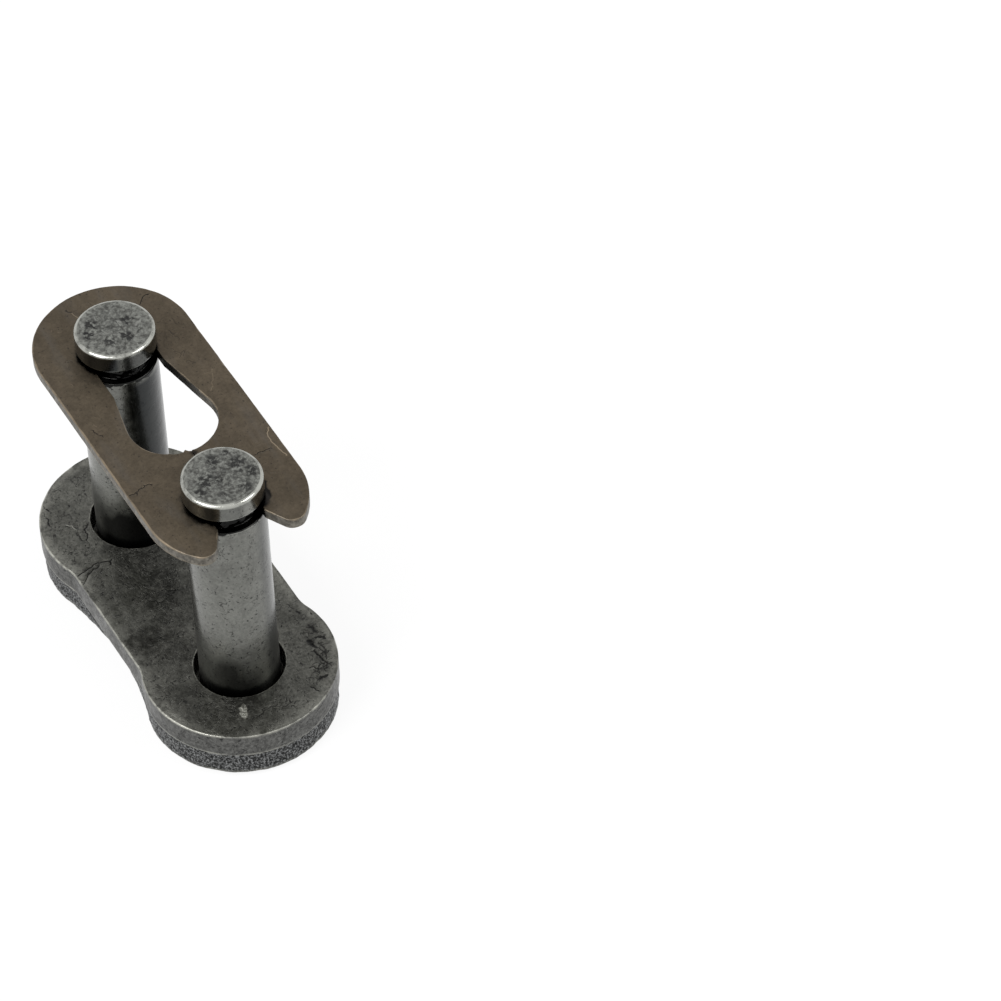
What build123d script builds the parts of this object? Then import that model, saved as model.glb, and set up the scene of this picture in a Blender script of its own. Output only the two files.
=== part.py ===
from build123d import *
import math
import os

# Connecting link of a half-inch pitch roller chain, standing on its riveted pin ends.
# Two pins are pressed and riveted into the pin plate. The slip plate drops over them
# and lies on the pin plate. A flat spring clip snaps into the grooves near the free
# ends of the pins, where it keeps the slip plate on.
# Frame: origin midway between the pins at the level of the riveted ends, +X from the
# rear pin to the front pin, at the open end of the clip, and +Z up along the pins.
# All sizes are in millimetres, and angles in degrees.

# Chain
pitch = 12.7
width_between_plates = 12.75

# Pins
pin_diameter = 4.45
neck_diameter = 3.5
groove_height = 0.9
head_height = 1.2
head_edge_radius = 0.2
groove_edge_chamfer = 0.08
rivet_height = 0.3
rivet_swell = 0.14
rivet_edge_chamfer = 0.12

# Pin plate: two round lobes, joined by a waist of two long hollow arcs
pin_plate_thickness = 1.7
pin_plate_lobe_radius = 5.3
pin_plate_waist_depth = 0.87
pin_plate_outer_edge_radius = 0.28
pin_plate_inner_edge_chamfer = 0.08

# Slip plate: two round lobes, joined by a straight-sided waist
slip_plate_thickness = 1.5
slip_plate_lobe_radius = 5.4
slip_plate_waist_depth = 0.45
slip_plate_blend_radius = 2.3
slip_plate_edge_chamfer = 0.1
slip_hole_clearance = 0.27
slip_hole_edge_chamfer = 0.08

# Spring clip
clip_thickness = 0.65
clip_width = 8.9
clip_rear_reach = 4.75
clip_front_reach = 4.65
clip_edge_chamfer = 0.07
neck_seat_clearance = 0.05
head_pass_clearance = 0.29
keyhole_length = 6.47
channel_length = 2.65
slit_width = 0.16
jaw_bite = 0.375
throat_beyond_neck = 0.3
mouth_half_angle = 29.0
jaw_tip_radius = 0.75
throat_corner_radius = 0.25
slit_corner_radius = 0.12

# Places along the chain
rear_pin_x = -pitch / 2
front_pin_x = pitch / 2
keyhole_wide_x = rear_pin_x + keyhole_length

# Radii
pin_radius = pin_diameter / 2
neck_radius = neck_diameter / 2
rivet_radius = pin_radius + rivet_swell
seat_radius = neck_radius + neck_seat_clearance

# Levels above the riveted ends
pin_plate_bottom = rivet_height
pin_plate_top = pin_plate_bottom + pin_plate_thickness
slip_plate_top = pin_plate_top + slip_plate_thickness
shoulder_level = pin_plate_top + width_between_plates + slip_plate_thickness
head_bottom = shoulder_level + groove_height
head_top = head_bottom + head_height


def flat_face_at(solid, level):
    """The solid's level face nearest a height."""
    return solid.faces().filter_by(Axis.Z).sort_by(lambda face: abs(face.center().Z - level))[0]


def hollow_waist_profile(lobe_radius, waist_depth):
    """Two lobes joined by two hollow arcs, each tangent to both lobes."""
    half_pitch = pitch / 2
    half_waist = lobe_radius - waist_depth
    hollow_radius = (half_pitch**2 + half_waist**2 - lobe_radius**2) / (2 * waist_depth)
    lobe_share = lobe_radius / (lobe_radius + hollow_radius)
    meet_x = half_pitch * (1 - lobe_share)
    meet_y = (half_waist + hollow_radius) * lobe_share
    end_x = half_pitch + lobe_radius
    outline = [
        ThreePointArc((meet_x, -meet_y), (end_x, 0), (meet_x, meet_y)),
        ThreePointArc((meet_x, meet_y), (0, half_waist), (-meet_x, meet_y)),
        ThreePointArc((-meet_x, meet_y), (-end_x, 0), (-meet_x, -meet_y)),
        ThreePointArc((-meet_x, -meet_y), (0, -half_waist), (meet_x, -meet_y)),
    ]
    return Face(Wire(outline))


def straight_waist_profile(lobe_radius, waist_depth, blend_radius):
    """Two lobes joined by a straight-sided web, with a hollow blend at each corner."""
    half_waist = lobe_radius - waist_depth
    lobes = Pos(rear_pin_x, 0) * Circle(lobe_radius) + Pos(front_pin_x, 0) * Circle(lobe_radius)
    plain = lobes + Rectangle(pitch, 2 * half_waist)
    corners = plain.vertices().filter_by(lambda corner: abs(abs(corner.Y) - half_waist) < 1e-6)
    return fillet(corners, blend_radius)


def pin_plate():
    """Outer plate that carries both pins, with a countersink for each riveted end."""
    profile = hollow_waist_profile(pin_plate_lobe_radius, pin_plate_waist_depth)
    plate = Pos(0, 0, pin_plate_bottom) * extrude(profile, pin_plate_thickness)
    plate = fillet(flat_face_at(plate, pin_plate_bottom).edges(), pin_plate_outer_edge_radius)
    plate = chamfer(flat_face_at(plate, pin_plate_top).edges(), pin_plate_inner_edge_chamfer)
    upright = (Align.CENTER, Align.CENTER, Align.MIN)
    hole = Cylinder(pin_radius, pin_plate_thickness, align=upright)
    countersink = Cone(rivet_radius, pin_radius, rivet_swell, align=upright)
    for pin_x in (rear_pin_x, front_pin_x):
        plate -= Pos(pin_x, 0, pin_plate_bottom) * (hole + countersink)
    return plate


def slip_plate():
    """Loose outer plate, lying on the pin plate, with a clearance hole for each pin."""
    profile = straight_waist_profile(
        slip_plate_lobe_radius, slip_plate_waist_depth, slip_plate_blend_radius
    )
    for pin_x in (rear_pin_x, front_pin_x):
        profile -= Pos(pin_x, 0) * Circle(pin_radius + slip_hole_clearance)
    plate = Pos(0, 0, pin_plate_top) * extrude(profile, slip_plate_thickness)
    for level in (pin_plate_top, slip_plate_top):
        outline = flat_face_at(plate, level).outer_wire()
        plate = chamfer(outline.edges(), slip_plate_edge_chamfer)
    rims = [wire.edges()[0] for wire in flat_face_at(plate, slip_plate_top).inner_wires()]
    return chamfer(rims, slip_hole_edge_chamfer)


def pin(pin_x):
    """Turned pin: riveted foot, plain shank, clip groove, and a flat head with a soft edge."""
    half_section = Polyline(
        (0, 0),
        (rivet_radius - rivet_edge_chamfer, 0),
        (rivet_radius, rivet_edge_chamfer),
        (rivet_radius, pin_plate_bottom),
        (pin_radius, pin_plate_bottom + rivet_swell),
        (pin_radius, shoulder_level - groove_edge_chamfer),
        (pin_radius - groove_edge_chamfer, shoulder_level),
        (neck_radius, shoulder_level),
        (neck_radius, head_bottom),
        (pin_radius - groove_edge_chamfer, head_bottom),
        (pin_radius, head_bottom + groove_edge_chamfer),
        (pin_radius, head_top),
        (0, head_top),
        close=True,
    )
    turned = revolve(Plane.XZ * make_face(half_section), Axis.Z)
    head_rim = turned.edges().filter_by(GeomType.CIRCLE).sort_by(Axis.Z)[-1]
    turned = fillet(head_rim, head_edge_radius)
    return Pos(pin_x, 0, 0) * turned


def keyhole_profile():
    """Round that passes a pin's head, narrowing to a channel that ends in the rear seat."""
    wide_round = Pos(keyhole_wide_x, 0) * Circle(pin_radius + head_pass_clearance)
    channel_end = Pos(rear_pin_x + channel_length, 0) * Circle(seat_radius)
    channel = Pos(rear_pin_x + channel_length / 2, 0) * Rectangle(channel_length, 2 * seat_radius)
    seat_round = Pos(rear_pin_x, 0) * Circle(seat_radius)
    return make_hull(wide_round.edges() + channel_end.edges()) + channel + seat_round


def mouth_profile(throat_x):
    """Throat between the jaws, flaring from where it ends to beyond the open end of the clip."""
    end_x = front_pin_x + clip_front_reach + clip_width / 2
    half_throat = neck_radius - jaw_bite
    half_end = half_throat + (end_x - throat_x) * math.tan(math.radians(mouth_half_angle))
    return Polygon(
        (front_pin_x, -half_throat),
        (throat_x, -half_throat),
        (end_x, -half_end),
        (end_x, half_end),
        (throat_x, half_throat),
        (front_pin_x, half_throat),
        align=None,
    )


def spring_clip():
    """Flat spring, split from its keyhole forward, whose jaws snap over the front neck."""
    half_width = clip_width / 2
    rear_centre = rear_pin_x - clip_rear_reach + half_width
    front_centre = front_pin_x + clip_front_reach - half_width
    outline = SlotCenterToCenter(front_centre - rear_centre, clip_width)
    outline = Pos((rear_centre + front_centre) / 2, 0) * outline
    front_seat = Pos(front_pin_x, 0) * Circle(seat_radius)
    slit = Rectangle(front_pin_x - keyhole_wide_x, slit_width)
    slit = Pos((keyhole_wide_x + front_pin_x) / 2, 0) * slit
    throat_x = front_pin_x + neck_radius + throat_beyond_neck
    profile = outline - keyhole_profile() - slit - front_seat - mouth_profile(throat_x)
    jaw_tips = profile.vertices().sort_by(Axis.X)[-2:]
    profile = fillet(jaw_tips, jaw_tip_radius)
    throat_corners = profile.vertices().filter_by(lambda corner: abs(corner.X - throat_x) < 1e-6)
    profile = fillet(throat_corners, throat_corner_radius)
    slit_corners = profile.vertices().filter_by(
        lambda corner: abs(abs(corner.Y) - slit_width / 2) < 1e-6
    )
    profile = fillet(slit_corners, slit_corner_radius)
    clip = Pos(0, 0, shoulder_level) * extrude(profile, clip_thickness)
    for level in (shoulder_level, shoulder_level + clip_thickness):
        clip = chamfer(flat_face_at(clip, level).edges(), clip_edge_chamfer)
    return clip


pieces = {
    "pin_plate": pin_plate(),
    "slip_plate": slip_plate(),
    "rear_pin": pin(rear_pin_x),
    "front_pin": pin(front_pin_x),
    "spring_clip": spring_clip(),
}

os.makedirs("parts", exist_ok=True)
for name, solid in pieces.items():
    export_step(solid, f"parts/{name}.step")
    box = solid.bounding_box()
    print(name, "volume", round(solid.volume, 2), "from", box.min, "to", box.max)
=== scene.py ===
# %% [markdown]
# A connecting link closes a loop of roller chain. Two pins are riveted into a pin plate,
# a slip plate drops over them, and a flat spring clip snaps into grooves near their ends.
# The engineer's solids come first, as a frame that holds every piece in its true place.
# The finely made pieces below stand in for those solids, and move with them.

# %% Load the frame
import math
import random

import bpy
import numpy as np
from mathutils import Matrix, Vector, geometry, kdtree, noise


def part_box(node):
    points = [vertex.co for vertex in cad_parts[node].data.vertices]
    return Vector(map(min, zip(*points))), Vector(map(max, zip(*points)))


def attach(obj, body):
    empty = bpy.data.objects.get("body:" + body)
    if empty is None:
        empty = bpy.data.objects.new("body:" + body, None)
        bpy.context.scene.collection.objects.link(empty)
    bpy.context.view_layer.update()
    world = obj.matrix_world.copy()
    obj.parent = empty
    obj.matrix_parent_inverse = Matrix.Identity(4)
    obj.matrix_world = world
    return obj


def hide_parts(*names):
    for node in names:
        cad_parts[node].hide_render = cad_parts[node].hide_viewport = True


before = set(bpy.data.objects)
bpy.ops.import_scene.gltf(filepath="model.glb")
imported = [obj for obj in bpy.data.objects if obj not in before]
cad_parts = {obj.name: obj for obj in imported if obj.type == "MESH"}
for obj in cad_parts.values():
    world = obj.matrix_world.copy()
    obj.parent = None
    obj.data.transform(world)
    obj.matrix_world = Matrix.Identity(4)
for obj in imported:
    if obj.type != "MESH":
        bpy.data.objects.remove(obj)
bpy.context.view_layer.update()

MM = 0.001

# %% [markdown]
# All lengths below are in millimetres, as on a workshop drawing, and meshes are scaled to
# metres when they are made. The levels count up from the riveted ends of the pins, which
# the link stands on. They could be read off the solids, but named numbers read better.

# %% Lengths and levels
HALF_PITCH = 6.35
REAR_X = -HALF_PITCH
FRONT_X = HALF_PITCH
PIN_RADIUS = 2.225
NECK_RADIUS = 1.75
RIVET_RADIUS = 2.365
PIN_PLATE_BOTTOM = 0.3
PIN_PLATE_TOP = 2.0
SLIP_PLATE_TOP = 3.5
SHOULDER = 16.25
CLIP_TOP = 16.9
HEAD_BOTTOM = 17.15
HEAD_TOP = 18.35
for node_name in sorted(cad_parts):
    low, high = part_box(node_name)
    print(node_name, "from level", round(low.z / MM, 2), "to", round(high.z / MM, 2))

# %% [markdown]
# The camera stands in front of the open end of the clip, a little to the left and well
# above it, with a long lens. A long lens keeps the pins nearly parallel, as a product
# photographer would. The link sits in the left part of the frame.

# %% Camera
camera = bpy.data.objects.new("camera", bpy.data.cameras.new("camera"))
camera.data.sensor_width = 36.0
camera.data.lens = 201.05
camera.data.clip_start = 0.01
camera.data.clip_end = 10.0
camera.location = (0.191983, -0.079372, 0.232248)
camera.rotation_euler = [math.radians(a) for a in (42.8698, 1.6912, 60.8856)]
bpy.context.scene.collection.objects.link(camera)
bpy.context.scene.camera = camera
print("camera", round(camera.location.length, 3), "m from the link")

# %% [markdown]
# Node materials are easier to read when each node takes one line. The first helper makes
# a node, sets its options, and either fills each input with a number or wires a socket
# to it. The others are short names for single nodes that every finish below uses.

# %% Make and wire nodes
def add(tree, kind, inputs=None, **options):
    """A new shader node, with its options set and its inputs filled or wired."""
    node = tree.nodes.new("ShaderNode" + kind)
    for option, value in options.items():
        setattr(node, option, value)
    for key, value in (inputs or {}).items():
        if isinstance(value, bpy.types.NodeSocket):
            tree.links.new(value, node.inputs[key])
        else:
            node.inputs[key].default_value = value
    return node


def calculate(tree, operation, *inputs, clamp=False):
    """A Math node with one to three inputs."""
    node = add(tree, "Math", dict(enumerate(inputs)), operation=operation, use_clamp=clamp)
    return node.outputs[0]


def combine(tree, operation, first, second):
    """A Math node with two inputs, kept between 0 and 1."""
    return calculate(tree, operation, first, second, clamp=True)


def blend_colours(tree, amount, first, second, way="MIX"):
    """A Mix node for colours."""
    inputs = {0: amount, 6: first, 7: second}
    return add(tree, "Mix", inputs, data_type="RGBA", blend_type=way).outputs[2]


def spread(tree, value, low, high, to_low=0.0, to_high=1.0):
    """Stretches the range from low to high onto another range, and cuts off beyond it."""
    inputs = {"Value": value, "From Min": low, "From Max": high, "To Min": to_low, "To Max": to_high}
    return add(tree, "MapRange", inputs, interpolation_type="SMOOTHSTEP").outputs["Result"]


print("one-line nodes ready")

# %% [markdown]
# Each finish mixes plain colours by two kinds of pattern: noise that fills the space round
# the link, and values stored on a mesh's points. Painted images could hold the wear too,
# but noise needs no file, shows no seam, and stays with the piece when it moves.

# %% Colours and patterns
def grey(level, tint=(1.0, 1.0, 1.0)):
    """A colour of one brightness, with an optional tint."""
    return (level * tint[0], level * tint[1], level * tint[2], 1.0)


def cloud(tree, place, scale, detail=4.0, roughness=0.55, warp=0.0):
    """Soft noise, with its scale in lumps per millimetre."""
    inputs = {"Vector": place, "Scale": scale, "Detail": detail, "Roughness": roughness}
    inputs["Distortion"] = warp
    return add(tree, "TexNoise", inputs).outputs[0]


def mask(tree, name):
    """A value stored on the mesh's points when the mesh was made."""
    return add(tree, "Attribute", attribute_name=name).outputs["Fac"]


def millimetres(tree, shift=(0.0, 0.0, 0.0), stretch=(1.0, 1.0, 1.0)):
    """The object's own coordinates in millimetres, moved and stretched."""
    inputs = {"Vector": add(tree, "TexCoord").outputs["Object"]}
    inputs["Scale"] = [share / MM for share in stretch]
    inputs["Location"] = shift
    return add(tree, "Mapping", inputs).outputs[0]


def new_finish(name):
    """A material with a clean node tree, and its output node."""
    finish = bpy.data.materials.new(name)
    finish.use_nodes = True
    finish.node_tree.nodes.clear()
    return finish, finish.node_tree, add(finish.node_tree, "OutputMaterial")


print("a mid grey with a warm tint:", grey(0.18, (1.0, 0.9, 0.8)))

# %% [markdown]
# The studio is a plain pale floor under soft light. Steel shows what stands around it, so
# the surroundings matter as much as the lamps. The world is white for the camera and in
# reflections, and gives a plain even light otherwise. An image of a real room could
# surround the link instead, but polished steel would then show that room.

# %% World
def seen_directly(tree):
    """1 for rays from the camera, from mirror-like steel and through glass, and else 0."""
    rays = add(tree, "LightPath").outputs
    seen = combine(tree, "ADD", rays["Is Camera Ray"], rays["Is Glossy Ray"])
    return combine(tree, "ADD", seen, rays["Is Transmission Ray"])


EVEN_LIGHT = 0.55
world = bpy.data.worlds.new("studio")
bpy.context.scene.world = world
world.use_nodes = True
tree = world.node_tree
tree.nodes.clear()
even_light = add(tree, "Background", {"Color": grey(1.0), "Strength": EVEN_LIGHT})
backdrop = add(tree, "Background", {"Color": grey(1.0), "Strength": 1.0})
both = add(tree, "MixShader", {0: seen_directly(tree), 1: even_light.outputs[0], 2: backdrop.outputs[0]})
add(tree, "OutputWorld", {"Surface": both.outputs[0]})
bpy.context.scene.view_settings.view_transform = "Standard"
print("world with", len(tree.nodes), "nodes")

# %% [markdown]
# The floor is one wide disc of white paper, a hair below the link. It glows for the camera
# and in reflections, so that it looks white without more light on the link, and it is
# plain paper for all other light, so the link still throws a soft shadow on it.

# %% Floor
FLOOR_RADIUS = 1.5
FLOOR_LEVEL = -0.00001
PAPER_TONE = 0.86
PAPER_GLOW = 1.03
GLOW_SHARE = 0.85
turns = np.linspace(0, 2 * math.pi, 97)[:-1]
ring = [(FLOOR_RADIUS * math.cos(t), FLOOR_RADIUS * math.sin(t), FLOOR_LEVEL) for t in turns]
floor_mesh = bpy.data.meshes.new("floor")
floor_mesh.from_pydata(ring, [], [tuple(range(len(ring)))])
floor = bpy.data.objects.new("floor", floor_mesh)
bpy.context.scene.collection.objects.link(floor)
paper, tree, output = new_finish("white_paper")
sheet = add(tree, "BsdfDiffuse", {"Color": grey(PAPER_TONE)})
glow = add(tree, "Emission", {"Color": grey(1.0), "Strength": PAPER_GLOW})
glow_share = combine(tree, "MULTIPLY", seen_directly(tree), GLOW_SHARE)
both = add(tree, "MixShader", {0: glow_share, 1: sheet.outputs[0], 2: glow.outputs[0]})
tree.links.new(both.outputs[0], output.inputs["Surface"])
floor_mesh.materials.append(paper)
print("floor", round(floor.dimensions.x, 2), "m across")

# %% [markdown]
# Two wide lamps stand left and right of the camera, and draw the thin bright lines on the
# rounded rims. Wide lamps act like the soft boxes of a photographer: a small lamp would
# draw hard shadows and glaring spots.

# %% Lamps
def soft_lamp(name, place, size, watts):
    """A square lamp that faces the link."""
    lamp = bpy.data.lights.new(name, "AREA")
    lamp.shape = "SQUARE"
    lamp.size = size
    lamp.energy = watts
    holder = bpy.data.objects.new(name, lamp)
    holder.location = place
    aim = Vector((0.0, 0.0, 0.01)) - Vector(place)
    holder.rotation_euler = aim.to_track_quat("-Z", "Y").to_euler()
    bpy.context.scene.collection.objects.link(holder)
    return holder


lamps = [
    soft_lamp("left_lamp", (0.12, -0.44, 0.4), size=0.44, watts=3.6),
    soft_lamp("right_lamp", (0.30, 0.30, 0.40), size=0.26, watts=1.2),
]
print("lamps", [lamp.name for lamp in lamps])

# %% [markdown]
# Plates and clip are stamped from flat steel, so each has one outline. Every outline here
# is made of round curves joined by straight lines that touch them, like a belt that runs
# round pulleys. A pulley with a positive radius is passed on the outside of a curve, and
# one with a negative radius makes a hollow. This gives exact tangents with few numbers.
# A bezier curve could be drawn instead, but it would only come close to the true arcs.

# %% A belt round pulleys
WALL_STEP = 0.09
WIDEST_TURN = 0.16
SAME_PLACE = 0.2


def heading_between(first, second):
    """The direction of the straight run that leaves one pulley and reaches the next."""
    step_x, step_y = second[0] - first[0], second[1] - first[1]
    offset = second[2] - first[2]
    run = math.sqrt(max(step_x**2 + step_y**2 - offset**2, 0.0))
    return math.atan2(step_y, step_x) - math.atan2(offset, run)


def on_pulley(pulley, heading):
    """The point where the belt touches a pulley as it runs in a direction, and the way outward."""
    outward = np.array((math.sin(heading), -math.cos(heading)))
    return np.array(pulley[:2]) + pulley[2] * outward, outward


def belt(pulleys, step):
    """Points and outward directions, evenly spaced along a closed belt."""
    headings = [heading_between(p, q) for p, q in zip(pulleys, pulleys[1:] + pulleys[:1])]
    stations = []
    for index, pulley in enumerate(pulleys):
        arrive, leave = headings[index - 1], headings[index]
        turn = (leave - arrive) % (2 * math.pi)
        if pulley[2] < 0:
            turn = -((arrive - leave) % (2 * math.pi))
        count = max(3, round(abs(turn * pulley[2]) / step), round(abs(turn) / WIDEST_TURN))
        stations += [on_pulley(pulley, arrive + turn * i / count) for i in range(count + 1)]
        near, outward = stations[-1]
        far, _ = on_pulley(pulleys[(index + 1) % len(pulleys)], leave)
        pieces = max(1, round(float(np.linalg.norm(far - near)) / step))
        stations += [(near + (far - near) * i / pieces, outward) for i in range(1, pieces)]
    loop = [stations[0]]
    for station in stations[1:]:
        if np.linalg.norm(station[0] - loop[-1][0]) > SAME_PLACE * step:
            loop.append(station)
    if np.linalg.norm(loop[-1][0] - loop[0][0]) < SAME_PLACE * step:
        loop.pop()
    return np.array([p for p, _ in loop]), np.array([o for _, o in loop])


sample = belt([(2.0, 0.0, 1.0), (-2.0, 0.0, 1.0)], WALL_STEP)[0]
print("a belt round two pulleys 4 mm apart has", len(sample), "points")

# %% [markdown]
# The pin plate is shaped like an eight: two round lobes and one long hollow on each side.
# The hollow's radius follows from how deep the waist is. The slip plate's waist is nearly
# straight, with a short hollow blend at each corner.

# %% Outlines of the two plates
PIN_LOBE = 5.3
WAIST_DEPTH = 0.87
PIN_WAIST = PIN_LOBE - WAIST_DEPTH
pin_hollow = (HALF_PITCH**2 + PIN_WAIST**2 - PIN_LOBE**2) / (2 * WAIST_DEPTH)
hollow_y = PIN_WAIST + pin_hollow
pin_plate_loop = belt(
    [
        (FRONT_X, 0.0, PIN_LOBE),
        (0.0, hollow_y, -pin_hollow),
        (REAR_X, 0.0, PIN_LOBE),
        (0.0, -hollow_y, -pin_hollow),
    ],
    WALL_STEP,
)
SLIP_LOBE = 5.396
SLIP_WAIST = SLIP_LOBE - 0.45
BLEND = 2.3
blend_y = SLIP_WAIST + BLEND
blend_x = HALF_PITCH - math.sqrt((SLIP_LOBE + BLEND) ** 2 - blend_y**2)
slip_plate_loop = belt(
    [
        (FRONT_X, 0.0, SLIP_LOBE),
        (blend_x, blend_y, -BLEND),
        (-blend_x, blend_y, -BLEND),
        (REAR_X, 0.0, SLIP_LOBE),
        (-blend_x, -blend_y, -BLEND),
        (blend_x, -blend_y, -BLEND),
    ],
    WALL_STEP,
)
print("hollow radius", round(pin_hollow, 2), "stations", len(pin_plate_loop[0]), len(slip_plate_loop[0]))

# %% [markdown]
# The clip is one strip of spring steel, cut flat. Its outline goes round the outside, in
# through the mouth between the jaws, round the front neck, back along a thin slit to the
# keyhole, round the rear neck, and out again the same way. These lengths describe it: a
# round keyhole that lets a pin's head through, a tapering channel, and a seat round each
# neck. The keyhole stands a little off centre, as the punch left it.

# %% Lengths of the clip
HALF_CLIP = 4.45
REAR_BEND_X = -6.65
FRONT_BEND_X = 6.55
KEYHOLE_X = 0.12
KEYHOLE_Y = 0.12
KEYHOLE_RADIUS = 2.47
SEAT_RADIUS = 1.8
CHANNEL_CORNER = 0.3
TAPER = math.radians(10.8)
HALF_SLIT = 0.015
SLIT_CORNER = 0.05
HALF_THROAT = 1.375
THROAT_X = 8.4
THROAT_CORNER = 0.25
BARB_CORNER = 0.12
JAW_TIP = 0.75
FLARE = math.radians(29.0)
CLIP_STEP = 0.07
print("the keyhole clears a head by", round(KEYHOLE_RADIUS - PIN_RADIUS, 3), "mm all round")

# %% [markdown]
# The outline is again a belt round pulleys. Both sides mirror each other, so only one side
# is listed, from the jaw's tip inward, and the other is made from it. Small corners sit
# where a round opening meets a straight edge, because a punch has no sharp corners.

# %% Outline of the clip
def corner_beside(circle, side, level, corner):
    """The centre of a small corner that touches a round opening and a straight edge."""
    circle_x, circle_y, radius = circle
    reach = math.sqrt((radius + corner) ** 2 - (level - circle_y) ** 2)
    return circle_x + side * reach


def jaw_tip_centre(tip):
    """The centre of a jaw's round tip, between the outer bend and the flared mouth."""
    along = np.array((math.cos(FLARE), math.sin(FLARE)))
    into_steel = np.array((-math.sin(FLARE), math.cos(FLARE)))
    start = np.array((THROAT_X, HALF_THROAT)) + tip * into_steel - np.array((FRONT_BEND_X, 0.0))
    half = float(start @ along)
    reach = math.sqrt(half**2 - float(start @ start) + (HALF_CLIP - tip) ** 2)
    return start + (reach - half) * along + np.array((FRONT_BEND_X, 0.0))


def channel_corner(side):
    """The blunt corner where the keyhole's channel starts to widen, on one side of the slit."""
    from_round = KEYHOLE_RADIUS / math.cos(TAPER) - SEAT_RADIUS
    corner_x = KEYHOLE_X - (from_round + side * KEYHOLE_Y) / math.tan(TAPER)
    corner_x -= CHANNEL_CORNER * math.tan(TAPER / 2)
    return (corner_x, side * (SEAT_RADIUS + CHANNEL_CORNER), CHANNEL_CORNER)


def inner_side(side):
    """The pulleys of one side of the clip's inside, from the jaw's tip in to the keyhole."""
    tip_x, tip_y = jaw_tip_centre(JAW_TIP)
    slit_y = HALF_SLIT + SLIT_CORNER
    barb_y = HALF_THROAT + BARB_CORNER
    throat_x = THROAT_X - THROAT_CORNER * math.tan(FLARE / 2)
    seat = (FRONT_X, 0.0, SEAT_RADIUS)
    keyhole = (KEYHOLE_X, KEYHOLE_Y, KEYHOLE_RADIUS)
    return [
        (tip_x, side * tip_y, JAW_TIP),
        (throat_x, side * (HALF_THROAT + THROAT_CORNER), THROAT_CORNER),
        (corner_beside(seat, 1, side * barb_y, BARB_CORNER), side * barb_y, BARB_CORNER),
        (FRONT_X, 0.0, -SEAT_RADIUS),
        (corner_beside(seat, -1, side * slit_y, SLIT_CORNER), side * slit_y, SLIT_CORNER),
        (corner_beside(keyhole, 1, side * slit_y, SLIT_CORNER), side * slit_y, SLIT_CORNER),
        (KEYHOLE_X, KEYHOLE_Y, -KEYHOLE_RADIUS),
        channel_corner(side),
    ]


front_bend = (FRONT_BEND_X, 0.0, HALF_CLIP)
rear_bend = (REAR_BEND_X, 0.0, HALF_CLIP)
rear_seat = (REAR_X, 0.0, -SEAT_RADIUS)
clip_pulleys = [front_bend, rear_bend, front_bend, *inner_side(-1), rear_seat, *inner_side(1)[::-1]]
clip_loop = belt(clip_pulleys, CLIP_STEP)
print("clip from", clip_loop[0].min(0).round(2), "to", clip_loop[0].max(0).round(2))

# %% [markdown]
# A stamped piece is built as a stack of rings. Each ring is the outline moved inward a
# little, at its own level, so the stack gives the wall and its rounded rims. A bevel
# modifier would give even, perfect rims, and here they are worn by different amounts.

# %% Rings and rims
def rim_rows(low, high, low_round, high_round, step, lip=0.05, low_rim=1.0, face_rim=0.0):
    """Rows of (inset, level, rim, anchor) up a wall, with a rounded edge at both ends."""
    turns = [math.radians(a) for a in (90, 68, 45, 22, 0)]
    rows = [(low_round + lip, low, 0.0, low)]
    rows += [
        (low_round * (1 - math.cos(t)), low + low_round * (1 - math.sin(t)), low_rim, low)
        for t in turns
    ]
    plain = high - low - low_round - high_round
    count = max(1, round(plain / step))
    middles = [low + low_round + plain * i / count for i in range(1, count)]
    rows += [(0.0, level, 0.0, level) for level in middles]
    rows += [
        (high_round * (1 - math.cos(t)), high - high_round * (1 - math.sin(t)), 1.0, high)
        for t in reversed(turns)
    ]
    rows.append((high_round + lip, high, face_rim, high))
    return rows


print("rim rows of a 1.5 mm plate:", len(rim_rows(0.0, 1.5, 0.1, 0.1, 0.1)))

# %% [markdown]
# To fill a face, one has to know which points lie in the steel, and how far they are from
# its outline. A point lies inside when a ray from it crosses the outline an odd number of
# times, and a search tree finds the nearest outline point quickly.

# %% Inside an outline, and near it
def inside(points, loops):
    """Which points lie in the steel, counted by how many outline edges a ray crosses."""
    crossings = np.zeros(len(points), int)
    for loop in loops:
        for (x0, y0), (x1, y1) in zip(loop, np.roll(loop, -1, axis=0)):
            if y0 == y1:
                continue
            between = (points[:, 1] > min(y0, y1)) & (points[:, 1] <= max(y0, y1))
            reach = x0 + (points[:, 1] - y0) * (x1 - x0) / (y1 - y0)
            crossings += between & (points[:, 0] < reach)
    return crossings % 2 == 1


def distance_to(points, marked):
    """How far each point is from the nearest one of some marked points."""
    tree = kdtree.KDTree(len(marked))
    for i, (x, y) in enumerate(marked):
        tree.insert((x, y, 0.0), i)
    tree.balance()
    return np.array([tree.find((x, y, 0.0))[2] for x, y in points])


square = np.array([(0.0, 0.0), (1.0, 0.0), (1.0, 1.0), (0.0, 1.0)])
print("inside a square, and beside it:", inside(np.array([(0.5, 0.5), (1.5, 0.5)]), [square]))

# %% [markdown]
# The flat faces are filled with small triangles whose corners lie on an uneven grid. One
# large polygon would draw the same flat face, but it has no points inside it that could
# sink into a scratch or hold a value. Corners that would crowd the outline are left out.

# %% Fill a flat face
ROW_SHARE = 0.87
GRID_SHAKE = 0.22
CLEAR_SHARE = 0.6
SMALLEST_GAP = 1e-7


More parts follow.
